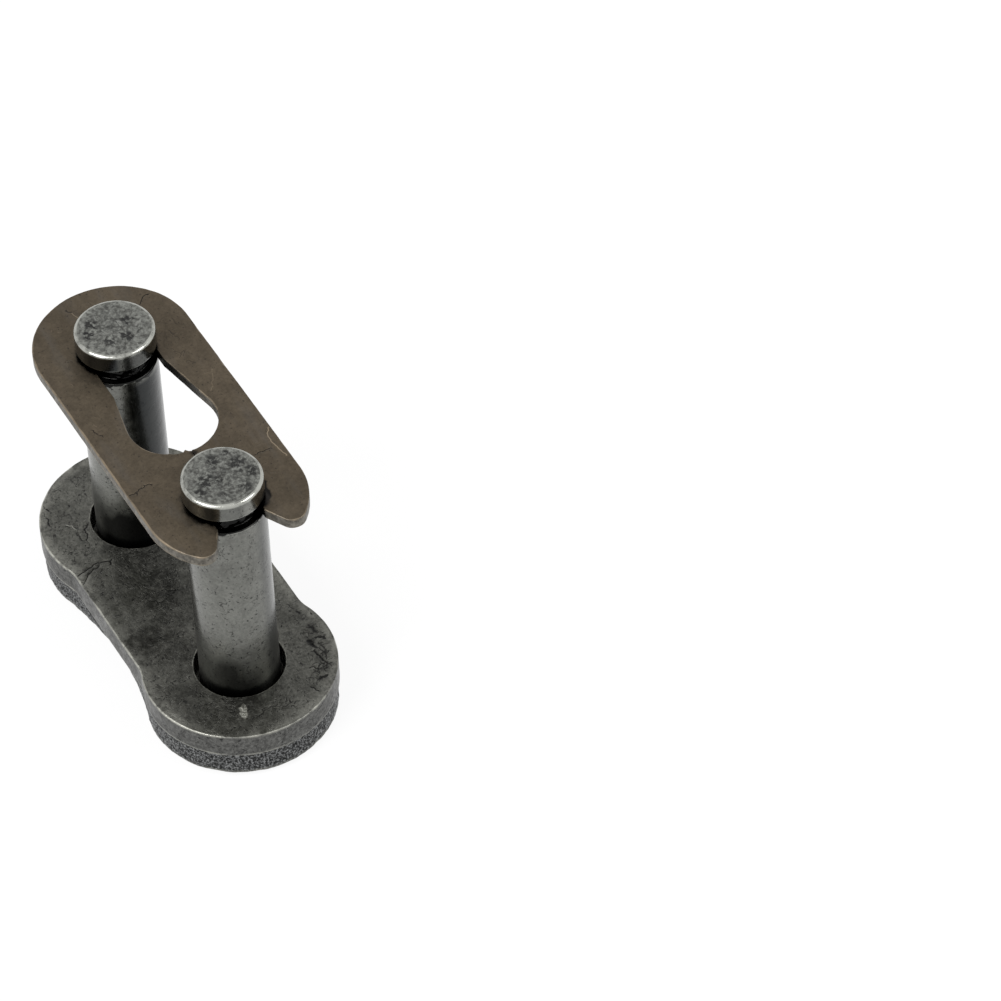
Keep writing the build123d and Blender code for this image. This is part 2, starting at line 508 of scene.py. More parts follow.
def fill_face(loops, spacing, extra):
    """Triangles over a flat face, and the points added inside it."""
    edge_points = np.concatenate(loops)
    low, high = edge_points.min(0), edge_points.max(0)
    dice = np.random.default_rng(7)
    rows = np.arange(low[1], high[1], spacing * ROW_SHARE)
    grid = [
        (x + (0.5 * spacing if i % 2 else 0.0), y)
        for i, y in enumerate(rows)
        for x in np.arange(low[0], high[0], spacing)
    ]
    grid = np.array(grid) + dice.uniform(-GRID_SHAKE, GRID_SHAKE, (len(grid), 2)) * spacing
    clear = distance_to(grid, [*edge_points, *extra]) > CLEAR_SHARE * spacing
    grid = grid[clear & inside(grid, loops)]
    added = np.concatenate((extra, grid))
    corners = [Vector(p) for p in np.concatenate((edge_points, added))]
    links = []
    start = 0
    for loop in loops:
        links += [(start + i, start + (i + 1) % len(loop)) for i in range(len(loop))]
        start += len(loop)
    _, _, triangles, origins, _, _ = geometry.delaunay_2d_cdt(corners, links, [], 0, SMALLEST_GAP)
    named = np.array([[origins[corner][0] for corner in t] for t in triangles])
    on_edge = (named < start).all(1)
    centres = np.array([[(corners[i].x, corners[i].y) for i in t] for t in named]).mean(1)
    keep = ~on_edge
    keep[on_edge] = inside(centres[on_edge], loops)
    return named[keep], added


print("a square of 1 mm filled with", len(fill_face([square], 0.3, np.zeros((0, 2)))[0]), "triangles")

# %% [markdown]
# Stamped steel is never perfectly smooth. These helpers give noise that depends only on
# where a point is, so the result is the same at each run. Cracks and scratches are thin
# lines of points that sink into a face, with random kinks where the real one is crooked.

# %% Roughness, cracks and scratches
def lumps(points, scale, octaves=3):
    """Noise from about -1 to 1 at each point, with its scale in lumps per millimetre."""
    return np.array([noise.fractal(Vector(p) * scale, 0.8, 2.1, octaves) for p in points])


def line_points(line, half_width, spacing=0.06):
    """Points along a scratch's centre and both its banks."""
    found = []
    for (x0, y0), (x1, y1) in zip(line, line[1:]):
        length = math.hypot(x1 - x0, y1 - y0)
        side = np.array((-(y1 - y0), x1 - x0)) / length * half_width
        for share in np.arange(0, 1, spacing / length):
            middle = np.array((x0 + (x1 - x0) * share, y0 + (y1 - y0) * share))
            found += [middle, middle + side, middle - side]
    return found


def near_line(points, line, half_width):
    """From 1 on a scratch's centre line to 0 at its banks."""
    best = np.zeros(len(points))
    for (x0, y0), (x1, y1) in zip(line, line[1:]):
        run = np.array((x1 - x0, y1 - y0))
        share = np.clip(((points - (x0, y0)) @ run) / (run @ run), 0, 1)
        gap = np.linalg.norm(points - (np.array((x0, y0)) + share[:, None] * run), axis=1)
        # A scratch is narrower toward its ends.
        taper = 0.35 + 0.65 * np.sin(math.pi * np.clip(share, 0.05, 0.95))
        best = np.maximum(best, np.clip(1 - gap / (half_width * taper), 0, 1))
    return best


def wander(line, seed, reach=0.07, pieces=5):
    """A line with small random kinks between its given points, as a crack has."""
    dice = random.Random(seed)
    crooked = [line[0]]
    for (x0, y0), (x1, y1) in zip(line, line[1:]):
        for i in range(1, pieces + 1):
            share = i / pieces
            shake = reach if i < pieces else 0.0
            x = x0 + (x1 - x0) * share + dice.uniform(-shake, shake)
            y = y0 + (y1 - y0) * share + dice.uniform(-shake, shake)
            crooked.append((x, y))
    return crooked


print("a kinked line of", len(wander([(0, 0), (1, 0)], 1)), "points")

# %% [markdown]
# Each wall is stacked ring by ring. Noise pushes every ring a little into the steel, and each rim is wider
# in some places than in others, partly as wear leaves it and partly to place a painted rim highlight. Two
# values are kept with the points for the finish: how near a rim they are, and whether they are on a wall.

# %% Stack the rings of a wall
ON_WALL = 0.02


def stack_rings(wall, grain, grain_scale):
    """The points of one wall, ring by ring, with their rim and wall values."""
    points, outwards, rows, widths = wall
    vertices, rims, sides = [], [], []
    for inset, level, rim, anchor in rows:
        ring = points - (inset * widths)[:, None] * outwards
        rough = lumps(np.column_stack((ring, np.full(len(points), level))), grain_scale)
        amount = grain * (1.0 if inset < ON_WALL else 0.5)
        ring = ring + outwards * (amount * (np.clip(rough, -1, 1) - 1))[:, None]
        levels = anchor + widths * (level - anchor)
        vertices += [np.array((x, y, z)) for (x, y), z in zip(ring, levels)]
        # Where a rim is narrow, it is hardly polished, and its painted highlight is fainter.
        rims += list(rim * np.clip(1.5 * widths - 0.7, 0.1, 1))
        sides += [float(inset < ON_WALL)] * len(points)
    return vertices, rims, sides


def uneven(loop, low=0.6, high=1.3, lean=0.0):
    """A wall's rim widths, which drift between two shares of the drawn width, and lean wider on the side
    facing -y, where the painted rim highlight is brighter.
    """
    drift = lumps(np.column_stack((loop[0], np.zeros(len(loop[0])))), 0.7)
    drift = 0.9 * drift - lean * loop[1][:, 1]
    return np.clip(0.5 * (low + high) + (high - low) * drift, low, high)


drift = uneven(pin_plate_loop)
print("rims drift from", round(drift.min(), 2), "to", round(drift.max(), 2), "of their drawn width")

# %% [markdown]
# A face is marked by scratches, by grease and by painted shade. A mark sinks into the face, or stands up a
# hair where it is bright, and its value runs from 1 for dark to -1 for bright. Grease and painted shade
# are only a value: full inside a ragged patch, and fading round it.

# %% Marks, grease and painted shade on a face
FULL_SHADE_DEPTH = 0.03


def marks_at(points, marks):
    """How deep scratches cut at each point, and a value from 1 for dark to -1 for bright."""
    drop, value = np.zeros(len(points)), np.zeros(len(points))
    for line, width, sink in marks:
        near = near_line(points, line, width)
        stronger = near > np.abs(value)
        drop = np.where(stronger, sink * near, drop)
        shade = math.copysign(min(1.0, abs(sink) / FULL_SHADE_DEPTH), sink)
        value = np.where(stronger, near * shade, value)
    return drop, value


def grease_and_shade_at(points, smudges):
    """How dark each point is painted, by grease and by painted shade: full inside a ragged patch, and
    fading round it.
    """
    value = np.zeros(len(points))
    ragged = lumps(points, 2.4)
    for x, y, radius, fade, strength in smudges:
        gap = np.hypot(points[:, 0] - x, points[:, 1] - y) - radius
        thick = np.clip(1 - gap / fade + 0.7 * ragged, 0, 1) * (gap < 2.5 * fade)
        value = np.maximum(value, strength * thick)
    return value


def no_margin(points, gap):
    """A face that is no brighter near its outer edge."""
    return 0.0 * gap


sample = marks_at(np.array([(0.5, 0.0), (0.5, 1.0)]), [([(0.0, 0.0), (1.0, 0.0)], 0.1, 0.03)])
print("mark value on a scratch and beside it:", sample[1])

# %% [markdown]
# Every piece ends as a mesh in metres. Its named values travel with its points, so a
# finish can read them and they move with the piece.

# %% Make an object
def make_object(name, vertices, faces, values):
    """A smooth-shaded mesh object in metres, with named values on its points."""
    mesh = bpy.data.meshes.new(name)
    mesh.from_pydata([tuple(v * MM) for v in vertices], [], faces)
    for value_name, numbers in values.items():
        layer = mesh.attributes.new(value_name, "FLOAT", "POINT")
        layer.data.foreach_set("value", np.asarray(numbers, np.float32))
    mesh.validate()
    mesh.shade_smooth()
    piece = bpy.data.objects.new(name, mesh)
    bpy.context.scene.collection.objects.link(piece)
    print(name, len(mesh.vertices), "points", len(mesh.polygons), "faces")
    return piece


def band(low, high, count):
    """The four-sided faces between a ring of points and the next one."""
    steps = [(i, (i + 1) % count) for i in range(count)]
    return [(low + i, low + j, high + j, high + i) for i, j in steps]


print("a band between two rings of 3 points:", band(0, 3, 3))

# %% [markdown]
# A flat face is never quite flat: it heaves a little, but stays level near its edge. Where
# it carries marks, points along them are added first, so that each one has a sharp bottom.

# %% A face with its marks
EDGE_CLEARANCE = 0.03
HEAVE_SCALE = 0.8
LEVEL_EDGE = 0.4


def marked_face(loops, level, spacing, marks, swell):
    """A face's triangles, and the points added in it with their heave and mark values."""
    edge_points = np.concatenate(loops)
    extra = np.reshape([p for line, width, _ in marks for p in line_points(line, width)], (-1, 2))
    if len(extra):
        extra = extra[inside(extra, loops) & (distance_to(extra, edge_points) > EDGE_CLEARANCE)]
    triangles, added = fill_face(loops, spacing, extra)
    gap = distance_to(added, edge_points)
    drop, value = marks_at(added, marks)
    heave = swell * lumps(np.column_stack((added, np.full(len(added), level))), HEAVE_SCALE)
    return triangles, added, (heave - swell) * np.clip(gap / LEVEL_EDGE, 0, 1) - drop, value


print("points in a small square heave by", marked_face([square], 0.0, 0.5, (), 0.01)[2].round(4), "mm")

# %% [markdown]
# This is the press that stamps every flat piece. It takes the outlines with the rows of their walls,
# stacks the rings, joins them by bands of faces, fills both flat faces, and stores the values of rims,
# walls, marks, and grease with painted shade on the points.

# %% The stamping press
def stamp(
    name, walls, spacings, marks=(), smudges=(), grain=0.0, grain_scale=4.0, swell=0.004, margin=no_margin
):
    """A flat piece from its walls (outline, ways outward, rows, rim widths)."""
    vertices, rims, sides, faces, ends = [], [], [], [], []
    for wall in walls:
        base, count, height = len(vertices), len(wall[0]), len(wall[2])
        for everything, new in zip((vertices, rims, sides), stack_rings(wall, grain, grain_scale)):
            everything += new
        last = base + (height - 1) * count
        for low in range(base, last, count):
            faces += band(low, low + count, count)
        ends.append((base, last, count))
    mark_values = [0.0] * len(vertices)
    for top, spacing in enumerate(spacings):
        starts = [(end[top], end[2]) for end in ends]
        loops = [np.array([vertices[s + i][:2] for i in range(n)]) for s, n in starts]
        level = vertices[starts[0][0]][2]
        triangles, added, heave, value = marked_face(loops, level, spacing, marks if top else (), swell)
        names = [s + i for s, n in starts for i in range(n)]
        names += range(len(vertices), len(vertices) + len(added))
        vertices += [np.array((x, y, level + (h if top else -h))) for (x, y), h in zip(added, heave)]
        rims += list(top * margin(added, distance_to(added, loops[0])))
        sides += [0.0] * len(added)
        mark_values += list(value)
        order = (0, 1, 2) if top else (0, 2, 1)
        faces += [tuple(names[t[i]] for i in order) for t in triangles]
    grease_and_shade = grease_and_shade_at(np.array(vertices), smudges)
    values = {"rim": rims, "wall": sides, "crack": mark_values, "grease_and_shade": grease_and_shade}
    return make_object(name, vertices, faces, values)


print("press ready, with an edge clearance of", EDGE_CLEARANCE, "mm")

# %% [markdown]
# The pin plate lies at the bottom. Its wall was torn by the punch, so it is coarse, and
# its outer edge was rounded in a tumbling drum. Each hole has a small countersink below,
# which the riveted end of a pin fills.

# %% Stamp the pin plate
def round_hole(x, radius, step):
    """Points round a hole, and the directions from the steel into the hole."""
    count = round(2 * math.pi * radius / step)
    angles = -2 * math.pi * np.arange(count) / count
    rays = np.stack((np.cos(angles), np.sin(angles)), axis=1)
    return np.array((x, 0.0)) + radius * rays, -rays


def even(loop):
    """Rim widths for a wall whose rims are as wide as drawn."""
    return np.ones(len(loop[0]))


def hole_walls(radius, step, rows):
    """The walls of a plate's two holes."""
    holes = [round_hole(x, radius, step) for x in (REAR_X, FRONT_X)]
    return [(*hole, rows, even(hole)) for hole in holes]


def countersunk_rows():
    """Wall rows of a hole that a riveted pin end fills from below."""
    depth = RIVET_RADIUS - PIN_RADIUS
    low, high = PIN_PLATE_BOTTOM, PIN_PLATE_TOP
    return [
        (depth + 0.05, low, 0.3, low),
        (depth, low, 0.5, low),
        (0.0, low + depth, 0.0, low),
        (0.0, high - 0.04, 0.0, high),
        (0.04, high, 0.5, high),
    ]


pin_plate_rows = rim_rows(
    PIN_PLATE_BOTTOM, PIN_PLATE_TOP, low_round=0.28, high_round=0.11, step=0.08, low_rim=0.3
)
pin_plate_walls = [(*pin_plate_loop, pin_plate_rows, uneven(pin_plate_loop, low=0.7, high=1.2))]
pin_plate_walls += hole_walls(PIN_RADIUS, 0.2, countersunk_rows())
pin_plate = stamp("punched_pin_plate", pin_plate_walls, (0.3, 0.35), grain=0.035, grain_scale=3.6)

# %% [markdown]
# Old steel carries two kinds of marks: cracks, which are long and crooked, and clusters of
# short worm-like marks. Noise in the finish could draw them, but then they would not lie
# where they should, and would not catch the light. A crack is listed as a row: a seed, how
# far it kinks, in how many pieces, its half width, its depth, and its points. A negative
# depth stands for a bright, slightly raised scratch. A cluster is scattered along a path.

# %% Crooked marks and clusters
WORM_STEP = 0.09
WORM_BEND = 0.9


def crooked(rows):
    """Marks (line, half width, depth) from rows of numbers and points."""
    return [
        (wander(points, seed, reach, pieces), half_width, depth)
        for seed, reach, pieces, half_width, depth, *points in rows
    ]


def worm_cluster(path, count, reach, seed, width, sink):
    """Short crooked marks, scattered along a path."""
    dice = random.Random(seed)
    marks = []
    for _ in range(count):
        start, end = path[(leg := dice.randrange(len(path) - 1))], path[leg + 1]
        share = dice.random()
        x = start[0] + (end[0] - start[0]) * share + dice.uniform(-reach, reach)
        y = start[1] + (end[1] - start[1]) * share + dice.uniform(-reach, reach)
        heading = dice.uniform(0, 2 * math.pi)
        line = [(x, y)]
        for _ in range(dice.randint(1, 4)):
            heading += dice.uniform(-WORM_BEND, WORM_BEND)
            x, y = x + WORM_STEP * math.cos(heading), y + WORM_STEP * math.sin(heading)
            line.append((x, y))
        marks.append((line, width * dice.uniform(0.7, 1.5), sink * dice.uniform(0.6, 1.3)))
    return marks


print("a cluster of", len(worm_cluster([(0, 0), (1, 0)], 5, 0.1, 1, 0.03, 0.01)), "marks")

# %% [markdown]
# The slip plate has a long crack and fine ones at the left of its rear half, broader dents
# and cracks at the front right, and one bright chip at the front. The clusters between
# them are denser there too.

# %% Marks of the slip plate
slip_cracks = [
    (1, 0.05, 3, 0.055, 0.04, (-3.85, -4.81), (-4.04, -4.1), (-4.2, -3.4), (-4.06, -3.03)),
    (5, 0.05, 3, 0.07, 0.035, (-4.06, -3.03), (-3.99, -2.7), (-3.7, -2.9)),
    (2, 0.04, 3, 0.045, 0.04, (-3.93, -3.47), (-3.79, -3.97), (-3.64, -4.29)),
    (33, 0.04, 3, 0.035, 0.03, (-3.64, -4.29), (-3.36, -4.55), (-3.11, -4.86)),
    (34, 0.08, 3, 0.05, 0.03, (-7.09, -2.59), (-6.86, -2.95), (-6.41, -2.93), (-6.06, -3.23)),
    (35, 0.08, 4, 0.045, 0.012, (-6.06, -3.23), (-5.47, -3.27)),
    (36, 0.08, 3, 0.07, 0.01, (-8.31, -3.61), (-8.34, -3.22), (-7.89, -3.2)),
    (37, 0.08, 3, 0.04, 0.03, (-6.79, -3.43), (-6.36, -3.45), (-6.05, -3.36)),
    (38, 0.05, 3, 0.03, -0.016, (-7.65, -3.69), (-7.41, -3.43), (-7.02, -3.37)),
    (39, 0.03, 2, 0.07, 0.03, (-9.32, -4.12), (-9.09, -4.04)),
    (40, 0.1, 3, 0.04, 0.02, (-0.81, -1.13), (-0.31, -1.01), (-0.22, -0.56)),
    (41, 0.1, 3, 0.04, 0.02, (-0.22, -2.17), (0.2, -1.89), (0.17, -1.5)),
    (3, 0.1, 5, 0.15, 0.014, (5.85, 4.48), (6.16, 4.57), (6.53, 4.62)),
    (4, 0.1, 5, 0.1, 0.02, (6.91, 4.41), (6.96, 4.64), (7.14, 4.79)),
    (6, 0.1, 5, 0.17, 0.024, (6.82, 3.97), (7.16, 3.97), (7.47, 4.06)),
    (54, 0.04, 4, 0.085, 0.045, (7.63, 3.91), (8.06, 3.93), (8.56, 3.98)),
    (55, 0.04, 4, 0.04, 0.03, (8.56, 3.98), (8.92, 4.1), (8.9, 4.35)),
    (56, 0.06, 4, 0.04, 0.024, (7.64, 4.22), (8.01, 4.27), (8.08, 4.66)),
    (57, 0.08, 4, 0.045, 0.02, (8.64, 3.2), (8.9, 3.49), (8.96, 3.89)),
    (58, 0.08, 4, 0.05, 0.02, (9.04, 3.17), (9.02, 3.55), (9.11, 3.99)),
    (59, 0.06, 3, 0.13, 0.03, (9.63, 3.17), (9.58, 3.37), (9.59, 3.68)),
    (9, 0.04, 3, 0.05, 0.03, (9.91, 2.52), (10.12, 2.66), (10.39, 2.76)),
    (60, 0.05, 2, 0.1, 0.02, (4.72, 4.45), (4.85, 4.5)),
    (61, 0.04, 2, 0.07, 0.03, (5.18, 5.02), (5.27, 5.0)),
    (7, 0.08, 4, 0.07, 0.013, (10.33, -0.99), (10.24, -0.58), (10.05, -0.06), (10.08, 0.41)),
    (62, 0.08, 4, 0.06, 0.015, (10.35, 0.58), (10.35, 1.01), (10.47, 1.5)),
    (8, 0.07, 5, 0.06, 0.03, (-8.62, -4.38), (-8.0, -4.5)),
    (32, 0.1, 5, 0.12, 0.012, (7.3, 4.35), (7.8, 4.45), (8.3, 4.3)),
]
bright_chip = [
    ([(9.2, -1.25), (9.66, -1.34)], 0.17, -0.03),
    ([(9.3, -1.43), (9.95, -1.46)], 0.2, -0.03),
    ([(9.6, -1.62), (10.0, -1.58)], 0.16, -0.028),
]
slip_clusters = [
    ([(5.9, 4.5), (7.1, 4.3), (8.6, 4.0), (9.6, 3.4)], 66, 0.42, 21, 0.04, 0.016),
    ([(10.4, -1.0), (10.1, 0.2), (10.4, 1.4)], 26, 0.3, 22, 0.04, 0.011),
    ([(6.2, -4.6), (8.8, -3.9)], 18, 0.5, 23, 0.03, 0.01),
    ([(-11.2, -2.4), (-9.2, -3.8), (-5.0, -3.9)], 52, 0.8, 24, 0.038, 0.011),
    ([(-3.4, -2.6), (2.0, -2.8)], 34, 1.6, 25, 0.035, 0.009),
    ([(0.5, 3.8), (6.0, 4.4)], 22, 0.6, 26, 0.03, 0.012),
]
slip_marks = crooked(slip_cracks) + bright_chip
for cluster in slip_clusters:
    slip_marks += worm_cluster(*cluster)
print(len(slip_marks), "marks on the slip plate")

# %% [markdown]
# The slip plate has a cleaner, shaved wall, small rims, and holes with a little room round the pins, so
# that it drops on by hand. Its rim and the face beside it are brighter, partly as polish where other links
# rubbed them in the tumbling drum and partly as a painted highlight on the edge toward the left lamp, and
# dull at one place at the front. These places are soft round patches, each with its middle, its reach and
# its strength.

# %% Rims and polish of the slip plate
SLIP_HOLE_RADIUS = 2.495
FACE_POLISH_AND_SHEEN = 0.36
POLISH_WIDTH = 0.6


def clearance_rows():
    """Wall rows of a slip plate hole, sharp below and slightly rounded above."""
    low, high = PIN_PLATE_TOP, SLIP_PLATE_TOP
    rows = [(0.06, low, 0.3, low), (0.03, low, 0.5, low)]
    rows += [(0.0, level, 0.0, level) for level in np.linspace(low + 0.03, high - 0.08, 12)]
    rows += [(0.018, high - 0.018, 1.0, high), (0.06, high, 1.0, high)]
    rows.append((0.1, high, 0.0, high))
    return rows


def dull_place(points):
    """From 0 to 1 where the slip plate's rim is less polished, at the front of a lobe."""
    return np.exp(-(np.hypot(points[:, 0] - 10.9, points[:, 1] + 2.7) ** 2) / 2.0)


def polish_and_sheen_margin(points, gap):
    """How much brighter the slip plate's face is near its outer edge: polish from tumbling, and a painted
    highlight.
    """
    from_left = np.hypot(points[:, 0] - 7.9, points[:, 1] + 4.3)
    wide = 0.3 * np.exp(-(from_left**2) / 1.6) * np.clip(1 - gap / 1.5, 0, 1)
    waist = 1 - 0.8 * np.exp(-((points[:, 0] - 2.4) ** 2 + (points[:, 1] + 4.0) ** 2) / 3.0)
    return (FACE_POLISH_AND_SHEEN * np.clip(1 - gap / POLISH_WIDTH, 0, 1) * waist + wide) * (1 - dull_place(points))


slip_rows = rim_rows(
    PIN_PLATE_TOP,
    SLIP_PLATE_TOP,
    low_round=0.05,
    high_round=0.06,
    step=0.1,
    lip=0.02,
    low_rim=0.8,
    face_rim=FACE_POLISH_AND_SHEEN,
)
# the slip plate's rims lean wider toward -y, where their painted highlight is brighter
slip_widths = uneven(slip_plate_loop, low=0.5, high=1.25, lean=0.45)
slip_widths = slip_widths * (1 - 0.4 * dull_place(slip_plate_loop[0]))
slip_walls = [(*slip_plate_loop, slip_rows, slip_widths)]
slip_walls += hole_walls(SLIP_HOLE_RADIUS, WALL_STEP, clearance_rows())
print("the slip plate clears a pin by", round(SLIP_HOLE_RADIUS - PIN_RADIUS, 3), "mm all round")

# %% [markdown]
# Grease from the pins has crept out of both holes, and dark smudges lie on the face, more of them at the
# front right. A broad soft patch in the middle is painted shade under the clip. A smudge is a place, a
# radius, how wide it fades, and how strong it is.

# %% Stamp the slip plate
slip_grease_and_shade = [
    (REAR_X, 0.0, 2.45, 0.12, 1.0),
    (FRONT_X, 0.0, 2.45, 0.12, 1.0),
    # painted shade: the broad soft patch under the clip
    (0.3, -0.6, 0.8, 2.8, 0.32),
    (2.2, -3.6, 0.5, 1.5, 0.42),
    (7.1, 4.1, 0.15, 0.6, 0.5),
    (6.2, 4.55, 0.1, 0.5, 0.36),
    (8.8, 3.9, 0.15, 0.7, 0.38),
    (9.6, 3.4, 0.1, 0.4, 0.42),
    (8.0, 4.3, 0.1, 0.5, 0.34),
]
slip_plate = stamp(
    "punched_slip_plate",
    slip_walls,
    (0.5, 0.17),
    slip_marks,
    slip_grease_and_shade,
    grain=0.006,
    grain_scale=2.5,
    margin=polish_and_sheen_margin,
)

# %% [markdown]
# The spring clip is thin and smooth. The slit is nearly shut, so its rims are narrow, and a
# burr stands beside it at the front of the keyhole, where the punch broke through. The
# burr is a small bulge of the outline itself, because it shows against the light.

# %% Burr and rim widths of the clip
BURRS = [(2.56, -0.32, 0.2, 0.13), (2.7, 0.1, 0.1, 0.05), (2.2, -1.15, 0.12, 0.05)]
SLIT_RIM = 0.2
clip_points, clip_outwards = clip_loop
for x, y, reach, height in BURRS:
    gap = np.hypot(clip_points[:, 0] - x, clip_points[:, 1] - y)
    bulge = height * np.exp(-((gap / reach) ** 2)) * (1 + 0.5 * np.sin(17 * clip_points[:, 1]))
    clip_points = clip_points + bulge[:, None] * clip_outwards
in_slit = (np.abs(clip_points[:, 1]) < 0.1) & (clip_points[:, 0] > 2.68) & (clip_points[:, 0] < 4.6)
outside = np.clip((np.abs(clip_points[:, 1]) - 3.4) / 0.8, 0, 1)
# the clip's outer rims lean wider toward -y, where their painted highlight is brighter
clip_widths = uneven(clip_loop, low=0.5, high=1.2)
clip_widths += outside * (uneven(clip_loop, low=0.5, high=1.3, lean=0.4) - clip_widths)
clip_widths[in_slit] = SLIT_RIM
print(int(in_slit.sum()), "stations along the slit")

# %% [markdown]
# Hair cracks and chipped lines run across the arms of the clip, and black grease has crept out of the
# grooves round both seats, with painted shadow of the heads in the same dark rings. The rows are written
# as for the slip plate.

# %% Stamp the spring clip
clip_cracks = [
    (11, 0.07, 5, 0.03, 0.03, (3.86, -4.25), (3.82, -3.75), (3.6, -3.3), (3.72, -2.95)),
    (31, 0.07, 5, 0.03, 0.03, (3.82, -3.8), (4.05, -3.95)),
    (12, 0.07, 5, 0.03, 0.03, (4.62, 2.75), (4.6, 3.2), (4.66, 3.8)),
    (13, 0.04, 5, 0.04, -0.02, (3.2, 4.3), (3.7, 4.02), (4.3, 3.98), (4.81, 4.06), (5.5, 4.22)),
    (14, 0.04, 2, 0.035, 0.03, (-8.63, 2.58), (-8.95, 2.86), (-9.11, 3.06), (-9.11, 3.24)),
    (15, 0.03, 3, 0.05, 0.02, (-10.16, -1.11), (-10.01, -0.94)),
    (42, 0.03, 3, 0.03, -0.014, (-9.88, -0.94), (-9.4, -0.81)),
    (43, 0.08, 3, 0.12, 0.006, (-6.87, 3.1), (-6.47, 3.07), (-5.82, 2.71)),
    (48, 0.08, 3, 0.1, 0.006, (-5.5, 2.5), (-5.16, 2.29), (-4.8, 2.3)),
    (44, 0.06, 3, 0.08, 0.008, (-6.78, 3.6), (-6.23, 3.62)),
    (45, 0.06, 3, 0.06, 0.008, (-6.07, 2.99), (-5.6, 3.18)),
    (16, 0.07, 5, 0.025, -0.01, (-2.15, 3.67), (-1.45, 3.38), (-0.84, 2.94)),
    (17, 0.07, 5, 0.035, 0.02, (-1.45, -3.89), (-1.14, -3.8), (-0.69, -3.61)),
]
clip_clusters = [
    ([(-6.6, 3.2), (-5.4, 2.9), (-3.4, 3.0)], 30, 0.45, 26, 0.034, 0.009),
    ([(-9.4, -1.6), (-6.0, -3.2), (2.0, -3.4)], 12, 0.6, 27, 0.022, 0.008),
    ([(3.2, 3.4), (7.5, 3.2)], 6, 0.6, 28, 0.022, 0.008),
    ([(4.0, -3.5), (7.5, -3.2)], 6, 0.6, 29, 0.022, 0.008),
    ([(-9.6, 1.8), (-9.8, -1.2)], 8, 0.5, 30, 0.022, 0.008),
    ([(-9.4, -2.0), (-6.4, -3.2), (1.0, -3.4), (6.0, -3.4)], 16, 0.6, 36, 0.03, -0.006),
    ([(-7.5, 3.4), (-2.0, 3.2), (5.5, 3.4)], 10, 0.6, 37, 0.03, -0.006),
]
clip_marks = crooked(clip_cracks)
for cluster in clip_clusters:
    clip_marks += worm_cluster(*cluster)
clip_grease_and_shade = [
    # the rings round both seats are grease, and painted shadow of the heads on the clip
    (REAR_X + 0.05, 0.0, 2.2, 0.18, 0.7),
    (FRONT_X + 0.12, 0.15, 2.15, 0.22, 1.0),
    (2.75, 0.0, 0.1, 0.25, 0.6),
    (FRONT_X, 0.0, 2.2, 0.35, 0.5),
    (REAR_X + 0.6, -1.3, 1.6, 0.5, 0.3),
    (REAR_X + 0.9, 1.2, 1.5, 0.5, 0.3),
]
clip_rows = rim_rows(SHOULDER, CLIP_TOP, low_round=0.05, high_round=0.06, step=0.08, lip=0.015)
clip = stamp(
    "sprung_clip",
    [(clip_points, clip_outwards, clip_rows, clip_widths)],
    (0.3, 0.15),
    clip_marks,
    clip_grease_and_shade,
    grain=0.004,
    grain_scale=3.0,
    swell=0.002,
)

# %% [markdown]
# The wall of the keyhole is made darker than the outer wall. The press has already stored grease and
# painted shade on the clip's points, and this step only raises that value there.

# %% Darken the keyhole's wall
KEYHOLE_DARKENING = 0.45


def read_values(piece, value_name):
    """One of the values stored on a piece's points."""
    numbers = np.zeros(len(piece.data.vertices), np.float32)
    piece.data.attributes[value_name].data.foreach_get("value", numbers)
    return numbers


places = np.array([v.co for v in clip.data.vertices]) / MM
# the keyhole's wall is made darker and glossier than the outer wall
darkened_wall = (read_values(clip, "wall") > 0.5) & (np.abs(places[:, 1]) < 2.4) & (places[:, 0] < 2.7)
grease_and_shade = read_values(clip, "grease_and_shade")
grease_and_shade = np.where(darkened_wall, np.maximum(grease_and_shade, KEYHOLE_DARKENING), grease_and_shade)
clip.data.attributes["grease_and_shade"].data.foreach_set("value", grease_and_shade)
print(int(darkened_wall.sum()), "points oiled")

# %% [markdown]
# Pins are turned on a lathe, so each is a half section swept round its axis. The section
# runs from the riveted end, up the shank, in to the neck where the clip grips, and out to
# the head with its rounded, polished rim. A screw modifier could sweep it as well, but it
# would leave no say over single points, and the struck face of the head has pits.

# %% Half section of a pin
HEAD_ROUND = 0.2
FACE_RADIUS = PIN_RADIUS - HEAD_ROUND
SMALL_ROUND = 0.08
RIVET_ROUND = 0.12


def arc_rows(centre, radius, start, end, count, rim):
    """Points of (radius, level, rim) along a quarter round."""
    turns = np.radians(np.linspace(start, end, count))
    return [(centre[0] + radius * math.cos(t), centre[1] + radius * math.sin(t), rim) for t in turns]


def straight_rows(first, second, step, rim=0.0):
    """Points along a straight part of the section."""
    count = max(1, round(math.dist(first, second) / step))
    shares = [i / count for i in range(count + 1)]
    run_x, run_y = second[0] - first[0], second[1] - first[1]
    return [(first[0] + run_x * share, first[1] + run_y * share, rim) for share in shares]


section = straight_rows((0.2, 0.0), (RIVET_RADIUS - RIVET_ROUND, 0.0), 0.15)
section += arc_rows((RIVET_RADIUS - RIVET_ROUND, RIVET_ROUND), RIVET_ROUND, -75, 0, 4, 0.8)
section += [(RIVET_RADIUS, PIN_PLATE_BOTTOM, 0.3), (PIN_RADIUS, PIN_PLATE_BOTTOM + 0.14, 0.0)]
section += straight_rows((PIN_RADIUS, 0.6), (PIN_RADIUS, SHOULDER - 0.1), 0.08)
section += arc_rows((PIN_RADIUS - SMALL_ROUND, SHOULDER - SMALL_ROUND), SMALL_ROUND, 0, 90, 4, 0.9)
section += straight_rows((PIN_RADIUS - 0.15, SHOULDER), (NECK_RADIUS, SHOULDER), 0.1)
section += straight_rows((NECK_RADIUS, SHOULDER + 0.08), (NECK_RADIUS, HEAD_BOTTOM), 0.08)
